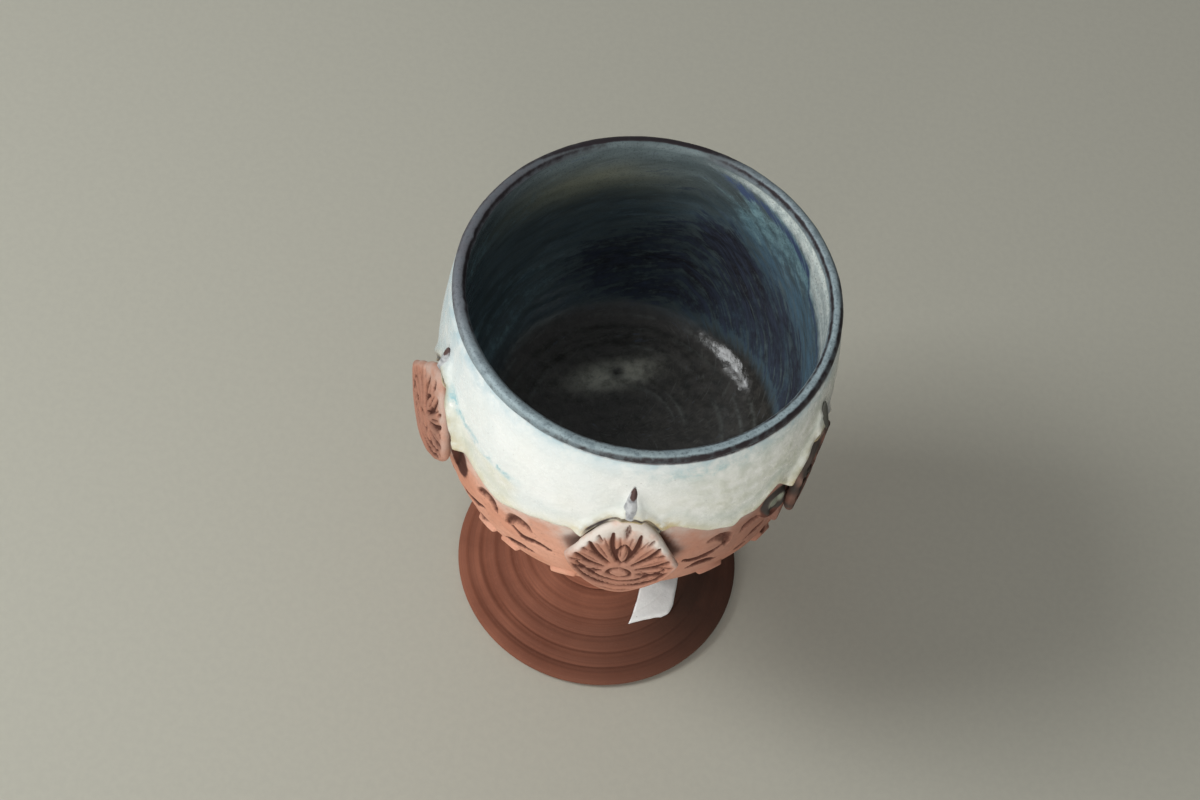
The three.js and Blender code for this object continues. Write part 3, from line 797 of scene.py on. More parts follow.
# Marks pressed into the clay between two medallions: kind, azimuths and drops below the belly
LEFT_MARKS = [
    ("crescent", [(-41, 13.6), (-38.4, 11), (-35.4, 11.6), (-33.3, 15)]),
    ("wave", [(-52.7, 27.3), (-48.6, 24.4), (-43.8, 22.4), (-38.7, 19.1)]),
    ("slot", [(-47, 28.2), (-42, 27.8), (-37.6, 27)]),
    ("lip", [(-42, 30.4), (-38.6, 30), (-35.6, 29.4)]),
    ("crescent", [(-29, 16.4), (-27, 11.8), (-24, 10.2), (-20.6, 12.2)]),
    ("wave", [(-26.6, 15.6), (-22.8, 17.8), (-18.4, 16.6), (-14, 17.6)]),
    ("slot", [(-30, 27.6), (-25, 24.4), (-20, 23.8)]),
    ("lip", [(-32.4, 32), (-29.4, 31.2), (-26.2, 30.2)]),
]
RIGHT_MARKS = [
    ("crescent", [(32.5, 7.8), (35.4, 6.8), (38.4, 9.4), (39.4, 14)]),
    ("wave", [(26, 15.6), (29.8, 16.4), (34, 15.2), (38.2, 12.4)]),
    ("slot", [(28.4, 20.8), (32.2, 19.6), (36.7, 21)]),
    ("lip", [(33.6, 27.8), (36.9, 27), (40.2, 26.6)]),
    ("crescent", [(44, 10.4), (46.4, 7.2), (49.4, 7.6)]),
    ("wave", [(47.2, 17.6), (51.3, 15.3), (55.5, 12.7)]),
    ("slot", [(57.2, 24.2), (60.4, 22), (64, 22.9)]),
    ("lip", [(54.4, 26.4), (57.2, 25.8), (60.2, 26)]),
]
# Pocket beside the left medallion, made dark by painted shade, clay ring round a pool of glaze beside the
# right one, small marks
SINGLE_MARKS = [
    ("pocket", [(-55, 14.6), (-54.2, 8), (-53.8, 0.4)]),
    ("ring", [(50.6, 4.4), (51.8, 8), (55, 8.4), (57.4, 4.6), (56.4, 0.6), (53, 0.4), (50.6, 4.4)]),
    ("lip", [(-13, 30), (-9.4, 28.8), (-6, 27.4)]),
    ("slot", [(-59, 24.8), (-57, 25.8), (-55, 26.8)]),
    ("slot", [(45.4, 21.8), (46.6, 21.4), (47.8, 21.2)]),
]
# The marks come back in the gaps between the other medallions, turned by these angles
MARK_GROUPS = [(LEFT_MARKS, (0, -69, 215)), (RIGHT_MARKS, (0, 66)), (SINGLE_MARKS, (0,))]
# Half width, height against the wall, stain (painted shade for the pocket) and bluntness of the ends
MARK_KINDS = {
    "crescent": (2.0, -0.8, 0.72, 0.3), "wave": (1.2, -0.8, 1.1, 0.5),
    "slot": (1.5, -1.0, 1.15, 0.55), "lip": (1.7, 1.1, 0.0, 0.5),
    "pocket": (2.8, -1.1, 1.6, 0.85), "ring": (1.2, 1.0, 1.3, 1.0),
}
STAIN_SPREAD = 1.3
MARK_MARGIN = 3.0
# Painted shade in the pocket, standing for a shadowed hollow: azimuth, height, reach across and up
POCKET_SHADE = (-51.4, BELLY - 10.8, 3.3, 5.6)
# Azimuth and height of the pool in the clay ring, and the size of the cup of clay that holds it
POOL_AZIMUTH = 54.2
POOL_HEIGHT = BELLY - 4.4
POOL_RISE = 1.8
CUP_RADIUS = 3.6
CUP_DEPTH = 1.3
# A place this close to the wall's radius belongs to the wall
SKIN = 0.3
# Azimuth and reach of the side where painted shade darkens the clay
DARK_SIDE = (57, 38)


def every_mark():
    for marks, turns in MARK_GROUPS:
        for turned in turns:
            for kind, path in marks:
                azimuths, drops = np.array(path).T
                yield kind, np.stack([azimuths + turned, BELLY - drops], axis=1)


def close_to(path, azimuth, height):
    """Which places of the wall lie within a margin of a mark, and both on the flattened wall"""
    start = path[:, 0].mean()
    line = np.stack([along_wall(path[:, 0], start), wall_length(path[:, 1])], axis=1)
    local = np.stack([along_wall(azimuth, start), wall_length(height)], axis=1)
    low, high = line.min(axis=0) - MARK_MARGIN, line.max(axis=0) + MARK_MARGIN
    return ((local > low) & (local < high)).all(axis=1), local, line


def pooled(pool, azimuth, height):
    """1 in the middle of a pool of glaze on the wall, fading to nothing round it"""
    middle, level, wide, tall = pool
    return near(np.hypot(along_wall(azimuth, middle) / wide, (height - level) / tall), 0, 1)


def stamped(azimuth, height):
    """Height and iron stain of the marks on the wall, with painted shade in the pocket"""
    raised = np.zeros(len(azimuth))
    stain = np.zeros(len(azimuth))
    for kind, path in every_mark():
        half_width, depth, iron, blunt = MARK_KINDS[kind]
        close, local, line = close_to(path, azimuth, height)
        mark = stroke(local[close], line, half_width, blunt)
        soaked = stroke(local[close], line, half_width * STAIN_SPREAD, blunt)
        raised[close] += depth * mark ** 0.8
        stain[close] = np.maximum(stain[close], iron * soaked)
    across, up = along_wall(azimuth, POOL_AZIMUTH), height - POOL_HEIGHT
    cup = near(np.hypot(across, up), 0, CUP_RADIUS) * (1 - ease(up, -CUP_RADIUS, CUP_RADIUS))
    return raised + CUP_DEPTH * cup, stain


def bowl_section():
    """Underside, outside, lip, inside and floor of the bowl"""
    shown = np.arange(0, wall_length(COATED), 1.0)
    hidden = np.linspace(wall_length(COATED), WALL_LENGTH[-1], 14)
    lengths = np.concatenate([shown, hidden])
    section = [(0, UNDERSIDE), (10, UNDERSIDE), (UNDERSIDE_RADIUS - 1, UNDERSIDE)]
    section += zip(*(np.interp(lengths, WALL_LENGTH, side) for side in WALL.T))
    section += arc(LIP_MIDDLE, LIP, LIP_WALL / 2, 0, math.pi, 8)[1:]
    section += bend((CUP_RIM_RADIUS, LIP), (CUP_BELLY_RADIUS, HALF_UP), (CUP_BELLY_RADIUS, BELLY), 8)[1:]
    section += curve(
        (CUP_BELLY_RADIUS, BELLY), (CUP_BELLY_RADIUS, lerp(BELLY, FLOOR, CUP_FULLNESS)),
        (lerp(FLOOR_RADIUS, CUP_BELLY_RADIUS, CUP_REACH), FLOOR), (FLOOR_RADIUS, FLOOR), 12,
    )[1:]
    return section + [(0, FLOOR - FLOOR_DIP)]


def refine_marks(bm):
    """Cuts the wall finer where marks are stamped into it"""
    places = places_of(bm)
    azimuth, height = azimuth_of(places), places[:, 2]
    marked = np.any([close_to(path, azimuth, height)[0] for kind, path in every_mark()], axis=0)
    marked &= radius_of(places) > wall_radius(height) - SKIN
    bm.verts.index_update()
    fine = [edge for edge in bm.edges if all(marked[vert.index] for vert in edge.verts)]
    bmesh.ops.subdivide_edges(bm, edges=fine, cuts=2, use_grid_fill=True)


def make_bowl():
    bm = turn(bowl_section(), 360)
    refine_marks(bm)
    places = places_of(bm)
    azimuth, radius, height = azimuth_of(places), radius_of(places), places[:, 2]
    wall = (radius > wall_radius(height) - SKIN) & (height > UNDERSIDE + 0.01) & (height < COATED)
    raised, stain = stamped(azimuth, height)
    rings = 0.07 * wave(wall_length(height) + azimuth / 60, 3.7)
    relief = (raised + rings + 0.16 * lumps(places, 11)) * ease(height, UNDERSIDE + 0.5, UNDERSIDE + 5)
    skin = wall_radius(height) + relief
    widen(places, np.where(wall, skin / np.maximum(radius, 1e-6), 1))
    move_to(bm, places)
    gap = slab_gap(azimuth, height)
    from_pool = np.hypot(along_wall(azimuth, POOL_AZIMUTH), height - POOL_HEIGHT - POOL_RISE)
    fields = {
        # Iron stain in the marks, and painted shade that darkens the pocket
        "stain": np.maximum(stain, 1.3 * ease(pooled(POCKET_SHADE, azimuth, height), 0.08, 0.5)),
        "haze": within(fading(coat_edge(azimuth) - height, 4.2) + 0.8 * fading(gap, 1.6)),
        # Painted shade: the clay darkened on the right side, and beside the medallions' edges where shade
        # falls into the gaps
        "tone": within(0.78 * facing(azimuth, *DARK_SIDE) + 0.75 * fading(gap, 1.1)),
        "char": near(from_pool, 0.95 * CUP_RADIUS, 0.3 * CUP_RADIUS),
        "pool": near(from_pool, 0, 0.82 * CUP_RADIUS),
    }
    paint(bm, **{name: np.where(wall, values, 0) for name, values in fields.items()})
    finish_piece(bm, "thrown_bowl", PALE_CLAY, "bowl")


# The blue lining

LINING = 0.9
LIP_ROUND = LIP_WALL / 2 + LINING
WET_FLOOR = 74.5
WET_FLOOR_RISE = 2.4
WET_FLOOR_RADIUS = 31
# Height and radius where the floor ends, height where the wall starts, and heights of two creases round it
FLOOR_END = 82
FLOOR_REACH = 38.5
WALL_START = 78
LOW_CREASE = 84.5
HIGH_CREASE = 96
# Azimuth and reach of the floor's lumpy side
LUMPY_SIDE = (138, 24)
# Pitch of the throwing spiral up the wall and across the floor
WALL_SPIRAL = 4.4
FLOOR_SPIRAL = 1.9
# Radii of the floor's throwing rings
FLOOR_RINGS = (13.8, 16.4, 25.6, 30.6, 34.2)
# How much of the glaze has run off the lip, outside at the front and inside at the back
LIP_THIN = 0.45
# Azimuths of two small beads of glaze on the lip's inner edge
LIP_BEADS = (-97, -72)


def lining_section():
    """The side that lies on the clay, then the wet side from the lip to the middle of the floor"""
    rim, belly = CUP_RIM_RADIUS - LINING, CUP_BELLY_RADIUS - LINING
    floor_edge = (WET_FLOOR_RADIUS, WET_FLOOR + WET_FLOOR_RISE)
    clay_side = [
        (0, FLOOR - FLOOR_DIP + 0.1), (FLOOR_RADIUS, FLOOR + 0.1), (38, 79.6), (42.6, 87.6), (44.3, 97),
        (44.7, BELLY), (44.2, 125), (CUP_RIM_RADIUS - 0.05, LIP), (LIP_MIDDLE, LIP + 1.05),
        (RIM_RADIUS + 0.1, LIP + 0.1),
    ]
    wet = arc(LIP_MIDDLE, LIP, LIP_ROUND, 0.06, math.pi, 26)
    wet += bend((rim, LIP), (belly, HALF_UP), (belly, BELLY), 46)[1:]
    wet += curve((belly, BELLY), (belly, 86.5), (38.6, 78.2), floor_edge, 62)[1:]
    for radius in np.arange(30.4, 0.3, -0.6):
        wet.append((radius, WET_FLOOR + WET_FLOOR_RISE * (radius / WET_FLOOR_RADIUS) ** 2.2))
    return clay_side + wet + [(0, WET_FLOOR)]


def make_lining():
    bm = turn(lining_section(), 360)
    places = places_of(bm)
    azimuth, radius, height = azimuth_of(places), radius_of(places), places[:, 2].copy()
    angle = np.radians(azimuth)
    far = np.maximum(radius, 1)
    inner_wall = (radius < LIP_MIDDLE) & (height > WALL_START) & (height < LIP)
    spiral = wave(height + azimuth / 360 * WALL_SPIRAL, WALL_SPIRAL)
    crease = near(height, LOW_CREASE + 0.8 * np.sin(angle), 1.1)
    crease += 0.7 * near(height, HIGH_CREASE + np.sin(angle + 1), 1.4)
    push = (0.05 * spiral + 0.22 * crease + 0.15 * lumps(places, 8)) * ease(LIP - height, 3, 10)
    widen(places, 1 - np.where(inner_wall, push, 0) / far)
    swell = 0.05 * sum(near(radius, reach + 0.4 * np.sin(angle), 0.9) for reach in FLOOR_RINGS)
    wet_side = facing(azimuth, *LUMPY_SIDE) * near(radius, 30, 8)
    swell += wet_side * (0.42 * lumps(places, 4.6, 2.0) + 0.16 * lumps(places, 2.1, 3.0))
    swell += 0.008 * wave(radius + azimuth / 360 * FLOOR_SPIRAL, FLOOR_SPIRAL)
    wet_floor = (height > FLOOR - 0.05) & (height < FLOOR_END) & (radius < FLOOR_REACH)
    places[:, 2] += np.where(wet_floor, swell + 0.12 * lumps(places, 9) + 0.06 * lumps(places, 3), 0)
    rise = ease(height, LIP - 6, LIP)
    places[:, 2] -= rise * (0.12 + 0.12 * np.sin(2 * angle + 0.5) * np.sin(angle))
    widen(places, 1 - rise * 0.0012 * (1 + np.sin(3 * angle + 1)))
    across = radius - LIP_MIDDLE
    wet_lip = (np.hypot(across, np.maximum(height - LIP, 0)) > 1.4) & (height > LIP - 4)
    to_front = ease(np.cos(angle), -0.3, 0.7)
    thin = np.where(across > 0, to_front, to_front - 1) * LIP_THIN * ease(np.abs(across), 0, LIP_ROUND)
    uneven = 0.1 * lumps(places, 6, 5.0) + 0.05 * lumps(places, 2.2, 7.0) - 0.05
    for bead in LIP_BEADS:
        uneven -= 0.3 * facing(azimuth, bead, 1.3) * (across < 0)
    shift = np.where(wet_lip, uneven - thin, 0) * ease(height, LIP - 4, LIP)
    widen(places, 1 + shift / far)
    move_to(bm, places)
    paint_lining(bm, azimuth, radius, height)
    finish_piece(bm, "blue_lining", BLUE_GLAZE, "inner_glaze_lining")


# Depth of the cream band below the lip and its strength, round the bowl
CREAM_EDGE = [
    (-165, 2.5), (-145, 2.5), (-110, 1.5), (-60, 2), (0, 3), (50, 5), (72, 9), (86, 16), (95, 20),
    (101, 18.5), (110, 16.5), (117, 15), (120, 8.5), (125, 7.2), (136, 5.2), (149, 3.4), (159, 2.4),
    (172, 2.2),
]
CREAM_SHARE = [
    (-150, 0.1), (-100, 0), (-30, 0.2), (40, 0.6), (80, 1), (116, 1), (122, 0.74), (140, 0.64),
    (153, 0.48), (165, 0.25), (180, 0.12),
]
# Strength of the sea blue, indigo and cobalt on the wall, round the bowl
SEA_SHARE = [
    (-150, 0.12), (-100, 0.48), (-40, 0.46), (60, 0.7), (110, 0.85), (132, 1), (150, 0.95), (162, 0.38),
    (180, 0.2),
]
INDIGO_SHARE = [(-120, 0.15), (-40, 0.3), (40, 0.7), (95, 1), (145, 1), (165, 0.5), (180, 0.25)]
COBALT_SHARE = [(-60, 0), (60, 0.3), (100, 0.9), (125, 1), (160, 0.9), (178, 0.1)]
# How deep below the lip the dark violet glaze starts and how strong it is, round the bowl
VIOLET_START = [
    (60, 40), (100, 31), (113, 27), (125, 24), (137, 21), (157, 14), (170, 19), (-170, 26), (-150, 34),
]
VIOLET_SHARE = [
    (-130, 0), (-148, 0.5), (-162, 0.8), (-178, 0.78), (160, 1), (130, 0.95), (90, 0.9), (40, 0.7),
    (-40, 0.2),
]
# How deep below the lip the wall's palest band lies
PALE_DEPTH = 13
# Azimuth and reach of the sea blue low on the left, a violet streak at the back and a warm patch
LOW_SEA = (-114, 36)
VIOLET_STREAK = (173, 14)
WARM_PATCH = (-147, 26)
# Height where the floor's dark glaze gives way to the wall's, round the bowl
WALL_FOOT = [(-60, 77.6), (40, 79), (90, 81.5), (130, 80), (160, 77.6)]
# Middle and slope of the painted reflection of the pale ceiling on the floor
FILM_X = -5.4
FILM_Y = 15.7
FILM_SLOPE = 0.42
# Where the rim is dark, lilac and pale blue, round the bowl
RIM_SHARES = {
    "dim": [
        (-180, 1), (-160, 0.9), (-140, 0.5), (-115, 0.2), (-85, 0.05), (-55, 0), (150, 0), (166, 0.5),
        (174, 1),
    ],
    "lilac": [
        (-160, 0.3), (-120, 0.9), (-70, 0.9), (-45, 0.3), (-20, 0), (110, 0), (140, 0.5), (165, 0.5),
    ],
    "bright": [
        (-90, 0), (-70, 0.2), (-45, 0.8), (-15, 0.55), (8, 0.25), (30, 0.8), (60, 1), (100, 0.75),
        (140, 0.6), (165, 0),
    ],
}
# Where the wall's own colour comes up over the inner side of the rim
SEA_OVER_LIP = [(-160, 1), (-140, 0), (164, 0), (173, 1)]
# Strength and width of the dark line outside on the rim, and strength of the one inside, round the bowl
IRON_SHARE = [
    (-150, 1), (-120, 0.7), (-90, 0.5), (-45, 0.35), (-15, 0.65), (15, 0.9), (60, 1), (95, 0.8),
    (120, 0.5), (156, 0.45), (170, 0.9), (180, 1),
]
IRON_WIDTH = [
    (-175, 2.8), (-150, 2.4), (-125, 0.7), (-90, 0.3), (-45, 0.2), (0, 0.35), (40, 0.7), (75, 1.1),
    (120, 0.5), (156, 0.5), (170, 2.4),
]
INNER_IRON = [
    (-170, 0), (-150, 0.6), (-125, 1), (-85, 1), (-55, 0.5), (60, 0.8), (110, 1), (150, 1), (165, 0.7),
    (175, 0),
]
# How far the brush marks slant down the wall, round the bowl
BRUSH_SLANT = [(80, 0), (92, 3), (158, 46), (170, 50)]


def paint_lining(bm, azimuth, radius, height):
    """Where each colour of the blue glaze lies"""
    angle = np.radians(azimuth)
    places = on_wheel(azimuth, radius, height)
    depth = LIP - height
    across = radius - LIP_MIDDLE
    crest = ease(height, LIP - 0.3, LIP + 0.3)
    lip = crest * (1 - around(azimuth, SEA_OVER_LIP) * (1 - ease(across, -1.0, -0.3)))
    foot_of_wall = around(azimuth, WALL_FOOT)
    wall = ease(height, foot_of_wall, foot_of_wall + 5.4)
    inside = wall * (1 - lip)
    # Painted reflection of the pale ceiling on the glossy floor, darker in its middle
    x, y = places[:, 0] - FILM_X, places[:, 1] - FILM_Y
    film = near(np.hypot(x / 2.3, y - FILM_SLOPE * x), 0, 4.6)
    film *= 1 - 0.8 * near(np.hypot(x - 1.2, y - 1.0), 0, 2.4)
    # Painted highlights: thin light lines along the floor's throwing rings, where their ridges catch the
    # light
    rings = sum(near(radius, reach + 0.4 * np.sin(angle), 0.4) for reach in FLOOR_RINGS)
    rings *= (1 - wall) * ease(lumps(places, 9, 4.0), -0.15, 0.35)
    edge = around(azimuth, CREAM_EDGE)
    low_left = 0.5 * facing(azimuth, *LOW_SEA) * ease(depth, 28, 44)
    start = around(azimuth, VIOLET_START)
    violet = around(azimuth, VIOLET_SHARE) * ease(depth, start, start + 14)
    violet += 0.4 * facing(azimuth, *VIOLET_STREAK) * near(depth, PALE_DEPTH, 7)
    line = 1.85 - around(azimuth, IRON_WIDTH)
    iron = lip * ease(across, line - 0.9, line + 0.2) * around(azimuth, IRON_SHARE)
    iron += ease(height, LIP - 0.9, LIP + 0.2) * near(across, -1.3, 0.55) * around(azimuth, INNER_IRON)
    paint(
        bm, lip=lip, crest=crest, floor=1 - wall, film=film, rings=within(rings), iron=within(iron),
        cream=inside * around(azimuth, CREAM_SHARE) * (1 - ease(depth, edge * 0.55, edge * 1.25 + 0.6)),
        cobalt=inside * near(depth, edge + 2.0, 2.2) * around(azimuth, COBALT_SHARE),
        sea=inside * (near(depth, PALE_DEPTH, 10) * around(azimuth, SEA_SHARE) + low_left),
        indigo=inside * ease(depth, 8, 26) * around(azimuth, INDIGO_SHARE),
        violet=wall * within(violet),
        warm=inside * near(depth, PALE_DEPTH, 6) * facing(azimuth, *WARM_PATCH),
        pores=inside * (0.45 + 0.55 * fading(depth - edge, 6)),
        **{name: around(azimuth, shares) for name, shares in RIM_SHARES.items()},
    )
    drift = depth + around(azimuth, BRUSH_SLANT) + np.maximum(38 - radius, 0)
    drawn = on_wheel(azimuth, 9 * np.minimum(radius / 30, 1), drift) * MM
    layer = bm.verts.layers.float_vector.new("flow")
    for vert, place in zip(bm.verts, drawn):
        vert[layer] = Vector(place)


# The white coat

# Rise above the coat's edge and share of its thickness, up the bead that ends the coat
COAT_BEAD = [
    (0.9, 0.03), (0.45, 0.25), (0.14, 0.5), (0, 0.8), (0.12, 1.12), (0.5, 1.4), (1.1, 1.52),
    (1.9, 1.45), (3, 1.25), (4.4, 1.08), (6, 1),
]
BEAD_TOP = COAT_BEAD[-1][0]
# How thick the coat is, and the most that it stands out from the clay
COAT_THICKNESS = 0.62
COAT_MOST = 3.1
# Middle of the right side, greyed by thin glaze and by painted shade, and azimuth and reach of the cool
# left and of sea blue under the rim
MURKY_SIDE = 88
COOL_SIDE = (-84, 28)
SEA_UNDER_RIM = (27, 13)
# A thick drop of white glaze at the front medallion's left corner: azimuth, height, reach across and up
WHITE_DROP = (-6.0, 106.4, 1.6, 1.6)
# Glaze pooled beside the medallions' domes, and where it thins out over the pocket beside the left one
OCHRE_POOL = (15.5, 113.2, 3.4, 2.8)
SLATE_POOL = (-0.5, 112.6, 3.2, 2.4)
DARK_POOL = (77.0, 119.0, 5.0, 5.0)
THIN_GLAZE = (-55.5, 107.0, 4.0, 3.6)
# Azimuth and height of the fold where the white glaze runs thick and shows sea blue, on the left
GLAZE_FOLD = [
    (-60, 124), (-56, 120.5), (-51, 117.6), (-46, 116.4), (-40, 115.8), (-33, 115.2), (-24, 114.4),
]


def glaze_by(medallion, azimuth, height, gap, runs):
    """Extra glaze lapped over one edge of a medallion and gathered round its thorn"""
    across, up = slab_place(medallion, azimuth, height).T
    lapped = ease(across * np.sign(medallion["lap"]), 2, 7) * ease(up, -1, 4)
    lapped *= np.abs(across) < 2 * SLAB_HALF
    tip = THORN_TIP - medallion["height"]
    shoulder = THORN_HALF_WIDTH * (1 - ease(up, SLAB_RISE - 1, tip))
    beside = fading(np.abs(across) - shoulder, 0.9) * ease(up, 14, 18) * (1 - ease(up, tip - 5, tip))
    return 2.0 * abs(medallion["lap"]) * lapped * near(gap, 0.6, 1.3) * (1 + 0.5 * runs) + 0.9 * beside


def make_coat():
    rows = [(rise, 0.0, stand) for rise, stand in COAT_BEAD]
    rows += [(BEAD_TOP, share, 1.0) for share in np.linspace(0, 0.985, 44)[1:]]
    rows += [(BEAD_TOP, 0.995, 0.7), (BEAD_TOP, 1.0, 0.3), (BEAD_TOP, 1.0, 0.0)]
    rows += [(BEAD_TOP, share, 0.0) for share in (0.8, 0.6, 0.4, 0.2, 0.0)]
    rows.append((2.0, 0.0, 0.0))
    bm = turn([(BELLY_RADIUS, i) for i in range(len(rows))], 720, closed=True)
    places = places_of(bm)
    azimuth = azimuth_of(places)
    rise, share, stand = np.array(rows)[np.rint(places[:, 2]).astype(int)].T
    edge = coat_edge(azimuth)
    height = edge + rise + share * (COAT_TOP - edge - BEAD_TOP)
    gap = slab_gap(azimuth, height)
    runs = wall_lumps(azimuth, height, 7, 2.6, 3)
    thickness = COAT_THICKNESS + 0.1 * runs + 0.05 * wall_lumps(azimuth, height, 3, 1.5, 9)
    drop = pooled(WHITE_DROP, azimuth, height)
    fillet = 0.8 * near(gap, 1.6, 1.3) * ease(height - edge, 0.8, 5.0) - 0.3 * near(gap, 0.2, 0.7)
    fillet += 0.8 * drop
    for medallion in MEDALLIONS:
        fillet += glaze_by(medallion, azimuth, height, gap, runs)
    low_side = 1 - ease(share, 0.9, 1.0)
    thin = (1 - 0.8 * pooled(THIN_GLAZE, azimuth, height)) * (1 - 0.55 * ease(share, 0.84, 0.98))
    proud = np.minimum(stand * (thickness + fillet * low_side) * thin, COAT_MOST)
    move_to(bm, on_wheel(azimuth, wall_radius(height) + 0.02 + proud, height))
    paint_coat(bm, azimuth, height, edge, gap, runs, drop)
    finish_piece(bm, "white_coat", WHITE_GLAZE, "outer_glaze_coat")


def paint_coat(bm, azimuth, height, edge, gap, runs, drop):
    """Where each colour of the white glaze lies"""
    above = height - edge
    below_lip = LIP - height
    right = ease(np.cos(np.radians(turned_by(azimuth, MURKY_SIDE))), 0.0, 0.9)
    left = facing(azimuth, *COOL_SIDE)
    by_edge = fading(above, 3.6)
    line = 0.25 + 0.9 * around(azimuth, IRON_WIDTH)
    beside = 0.9 * fading(gap, 1.7) + 0.3 * by_edge - 0.1
    slate = 0.8 * pooled(SLATE_POOL, azimuth, height) * (1 - ease(gap, 0.4, 2.6))
    fold = np.interp(azimuth, *zip(*GLAZE_FOLD)) + 0.7 * runs
    by_fold = ease(azimuth, -61, -55) * (1 - ease(azimuth, -30, -24))
    thick = 0.7 * by_fold * ease(fold - height, 0.5, 3.0)
    under_rim = near(below_lip, 4, 2.2) * facing(azimuth, *SEA_UNDER_RIM)
    seam = 0.95 * near(gap, 0.0, 0.6) * ease(gap, -1.2, -0.2) * (1 - drop)
    under_lip = around(azimuth, IRON_SHARE) * (1 - ease(below_lip, 0.1 * line, 1.7 * line))
    fields = {
        # Thin glaze and painted shade grey the right side
        "murky": right * (0.75 + 0.25 * runs),
        "ochre": (beside + pooled(OCHRE_POOL, azimuth, height)) * (1 - drop),
        "slate": slate + pooled(DARK_POOL, azimuth, height),
        "warm": 0.85 * by_edge + 0.6 * fading(gap, 2.4) + 0.35 * right + thick + 0.2 * runs,
        "sea": near(height, fold, 1.5) * by_fold + 0.6 * under_rim,
        "cool": fading(below_lip - line, 3.4) + 0.25 * near(above, 6, 3) + 0.75 * left,
        "iron": under_lip + seam,
    }
    paint(bm, **{name: within(values) for name, values in fields.items()})


# Medallions, thorns and slip pads

# Leaves and buds of the palmette's right half: angle from its axis, start and end from its root
PALMETTE_ROOT = np.array([0.0, -5.2])
LEAVES = [(11, 5.6, 17.2), (34, 5.2, 15.4), (57, 4.8, 13.6), (80, 4.6, 12.2)]
BUDS = [(0, 15.6), (22.5, 14.2), (45, 12.2), (68, 10.6)]
BUD_LENGTH = 5.2
VEIN_ANGLES = (-7, 7)
# Middle bud, ring, bands and curl below the leaves: path, half width and depth
BANDS = [
    ([(0, 7.6), (1.5, 4.6), (1.4, 1.6), (0, -0.4)], 0.7, 0.8),
    ([(0, -2.4), (1.9, -3.4), (2.6, -5.4), (0, -6.6)], 0.65, 0.7),
    ([(0, -8.4), (4.0, -7.4), (7.6, -4.8), (10.4, -1.8)], 0.8, 0.8),
    ([(0, -9.5), (4.6, -8.4), (8.2, -5.7)], 0.34, 0.4),
    ([(0, -10.5), (5.0, -9.3), (9.2, -6.2), (11.8, -2.6)], 0.75, 0.75),
    ([(0, -12.5), (5.0, -11.4), (8.6, -9.0)], 0.65, 0.6),
    ([(4.4, -4.4), (6.0, -5.2), (6.4, -3.8), (5.2, -3.2)], 0.45, 0.5),
]
# Short ticks along the dome's edge, as shares of its half outline from the tip
BORDER_TICKS = (0.12, 0.27, 0.42, 0.57, 0.72, 0.87)
DOME_SHARES = np.linspace(0, 1, len(DOME))


def on_palmette(angle, reach, aside=0.0):
    """A place at an angle from the palmette's axis and a reach from its root, moved aside"""
    turned = math.radians(angle)
    way = np.array([math.sin(turned), math.cos(turned)])
    return PALMETTE_ROOT + way * reach + np.array([way[1], -way[0]]) * aside


def ornament():
    """Strokes of the stamped palmette: path, half width and depth, for its right half"""
    strokes = list(BANDS)
    for angle, start, end in LEAVES:
        leaf = [(start, 0.0), ((start + end) / 2, 0.7), (end, 0.0)]
        strokes.append(([on_palmette(angle, *place) for place in leaf], 0.85, 0.9))
        vein = [(start + 2.4, 0.0), (end - 1.4, 0.4)]
        for aside in VEIN_ANGLES:
            strokes.append(([on_palmette(angle + aside, *place) for place in vein], 0.36, 0.42))
    for angle, start in BUDS:
        bud = [(start, 0.0), (start + 2.8, 0.3), (start + BUD_LENGTH, 0.0)]
        strokes.append(([on_palmette(angle, *place) for place in bud], 0.6, 0.6))
    for share in BORDER_TICKS:
        outer = np.array([np.interp(share, DOME_SHARES, side) for side in DOME.T])
        strokes.append(([outer * 0.95, outer * 0.89], 0.5, 0.45))
    return strokes


def palmette(places):
    """Height and stain of the palmette at places across and up a medallion"""
    folded = np.stack([np.abs(places[:, 0]), places[:, 1]], axis=1)
    cut = np.zeros(len(places))
    dip = np.zeros(len(places))
    stain = np.zeros(len(places))
    for path, half_width, depth in ornament():
        mark = stroke(folded, path, half_width, 0.55)
        valley = stroke(folded, path, half_width * 2.1, 0.7)
        cut = np.maximum(cut, depth * mark ** 0.75)
        dip = np.maximum(dip, 0.3 * depth * valley)
        stain = np.maximum(stain, mark * min(depth / 0.9, 0.95))
    return -cut - dip, stain


def spun(degrees, axis="Z"):
    return Matrix.Rotation(math.radians(degrees), 4, axis)


def press_on(medallion):
    """From a medallion's own plane to its place on the bowl"""
    out = BELLY_RADIUS + SLAB_STANDOFF + medallion["lift"]
    stand = Matrix.Translation((0, -out, medallion["height"]))
    lean = spun(90 - medallion["lean"], "X")
    return spun(medallion["azimuth"]) @ stand @ spun(medallion["swing"]) @ lean @ spun(medallion["turn"])


def placed(places, matrix):
    turned = np.array(matrix.to_3x3())
    return places @ turned.T + np.array(matrix.translation)


# Edges of a medallion, a slip pad and the run on the foot, as shares of reach and thickness
SLAB_EDGE = [
    (0.905, 0.99), (0.93, 0.96), (0.953, 0.91), (0.973, 0.83), (0.989, 0.72), (0.998, 0.58),
    (0.997, 0.43), (0.982, 0.28), (0.957, 0.15), (0.925, 0.05), (0.89, 0), (0.7, 0), (0.4, 0), (0, 0),
]
PAD_EDGE = [(0.97, 0.95), (1, 0.8), (1, 0.5), (1, 0.2), (0.97, 0), (0.5, 0), (0, 0)]
RUN_EDGE = [
    (0.9, 0.97), (0.94, 0.88), (0.97, 0.72), (0.99, 0.5), (1, 0.25), (0.995, 0.05), (0.9, 0), (0, 0),
]


def flat_disc(face, rings, edge, steps):
    """A disc of unit size with rings on its face out to a share of its reach, and an edge"""
    return turn([(share, 1.0) for share in np.linspace(0, face, rings)] + edge, steps)


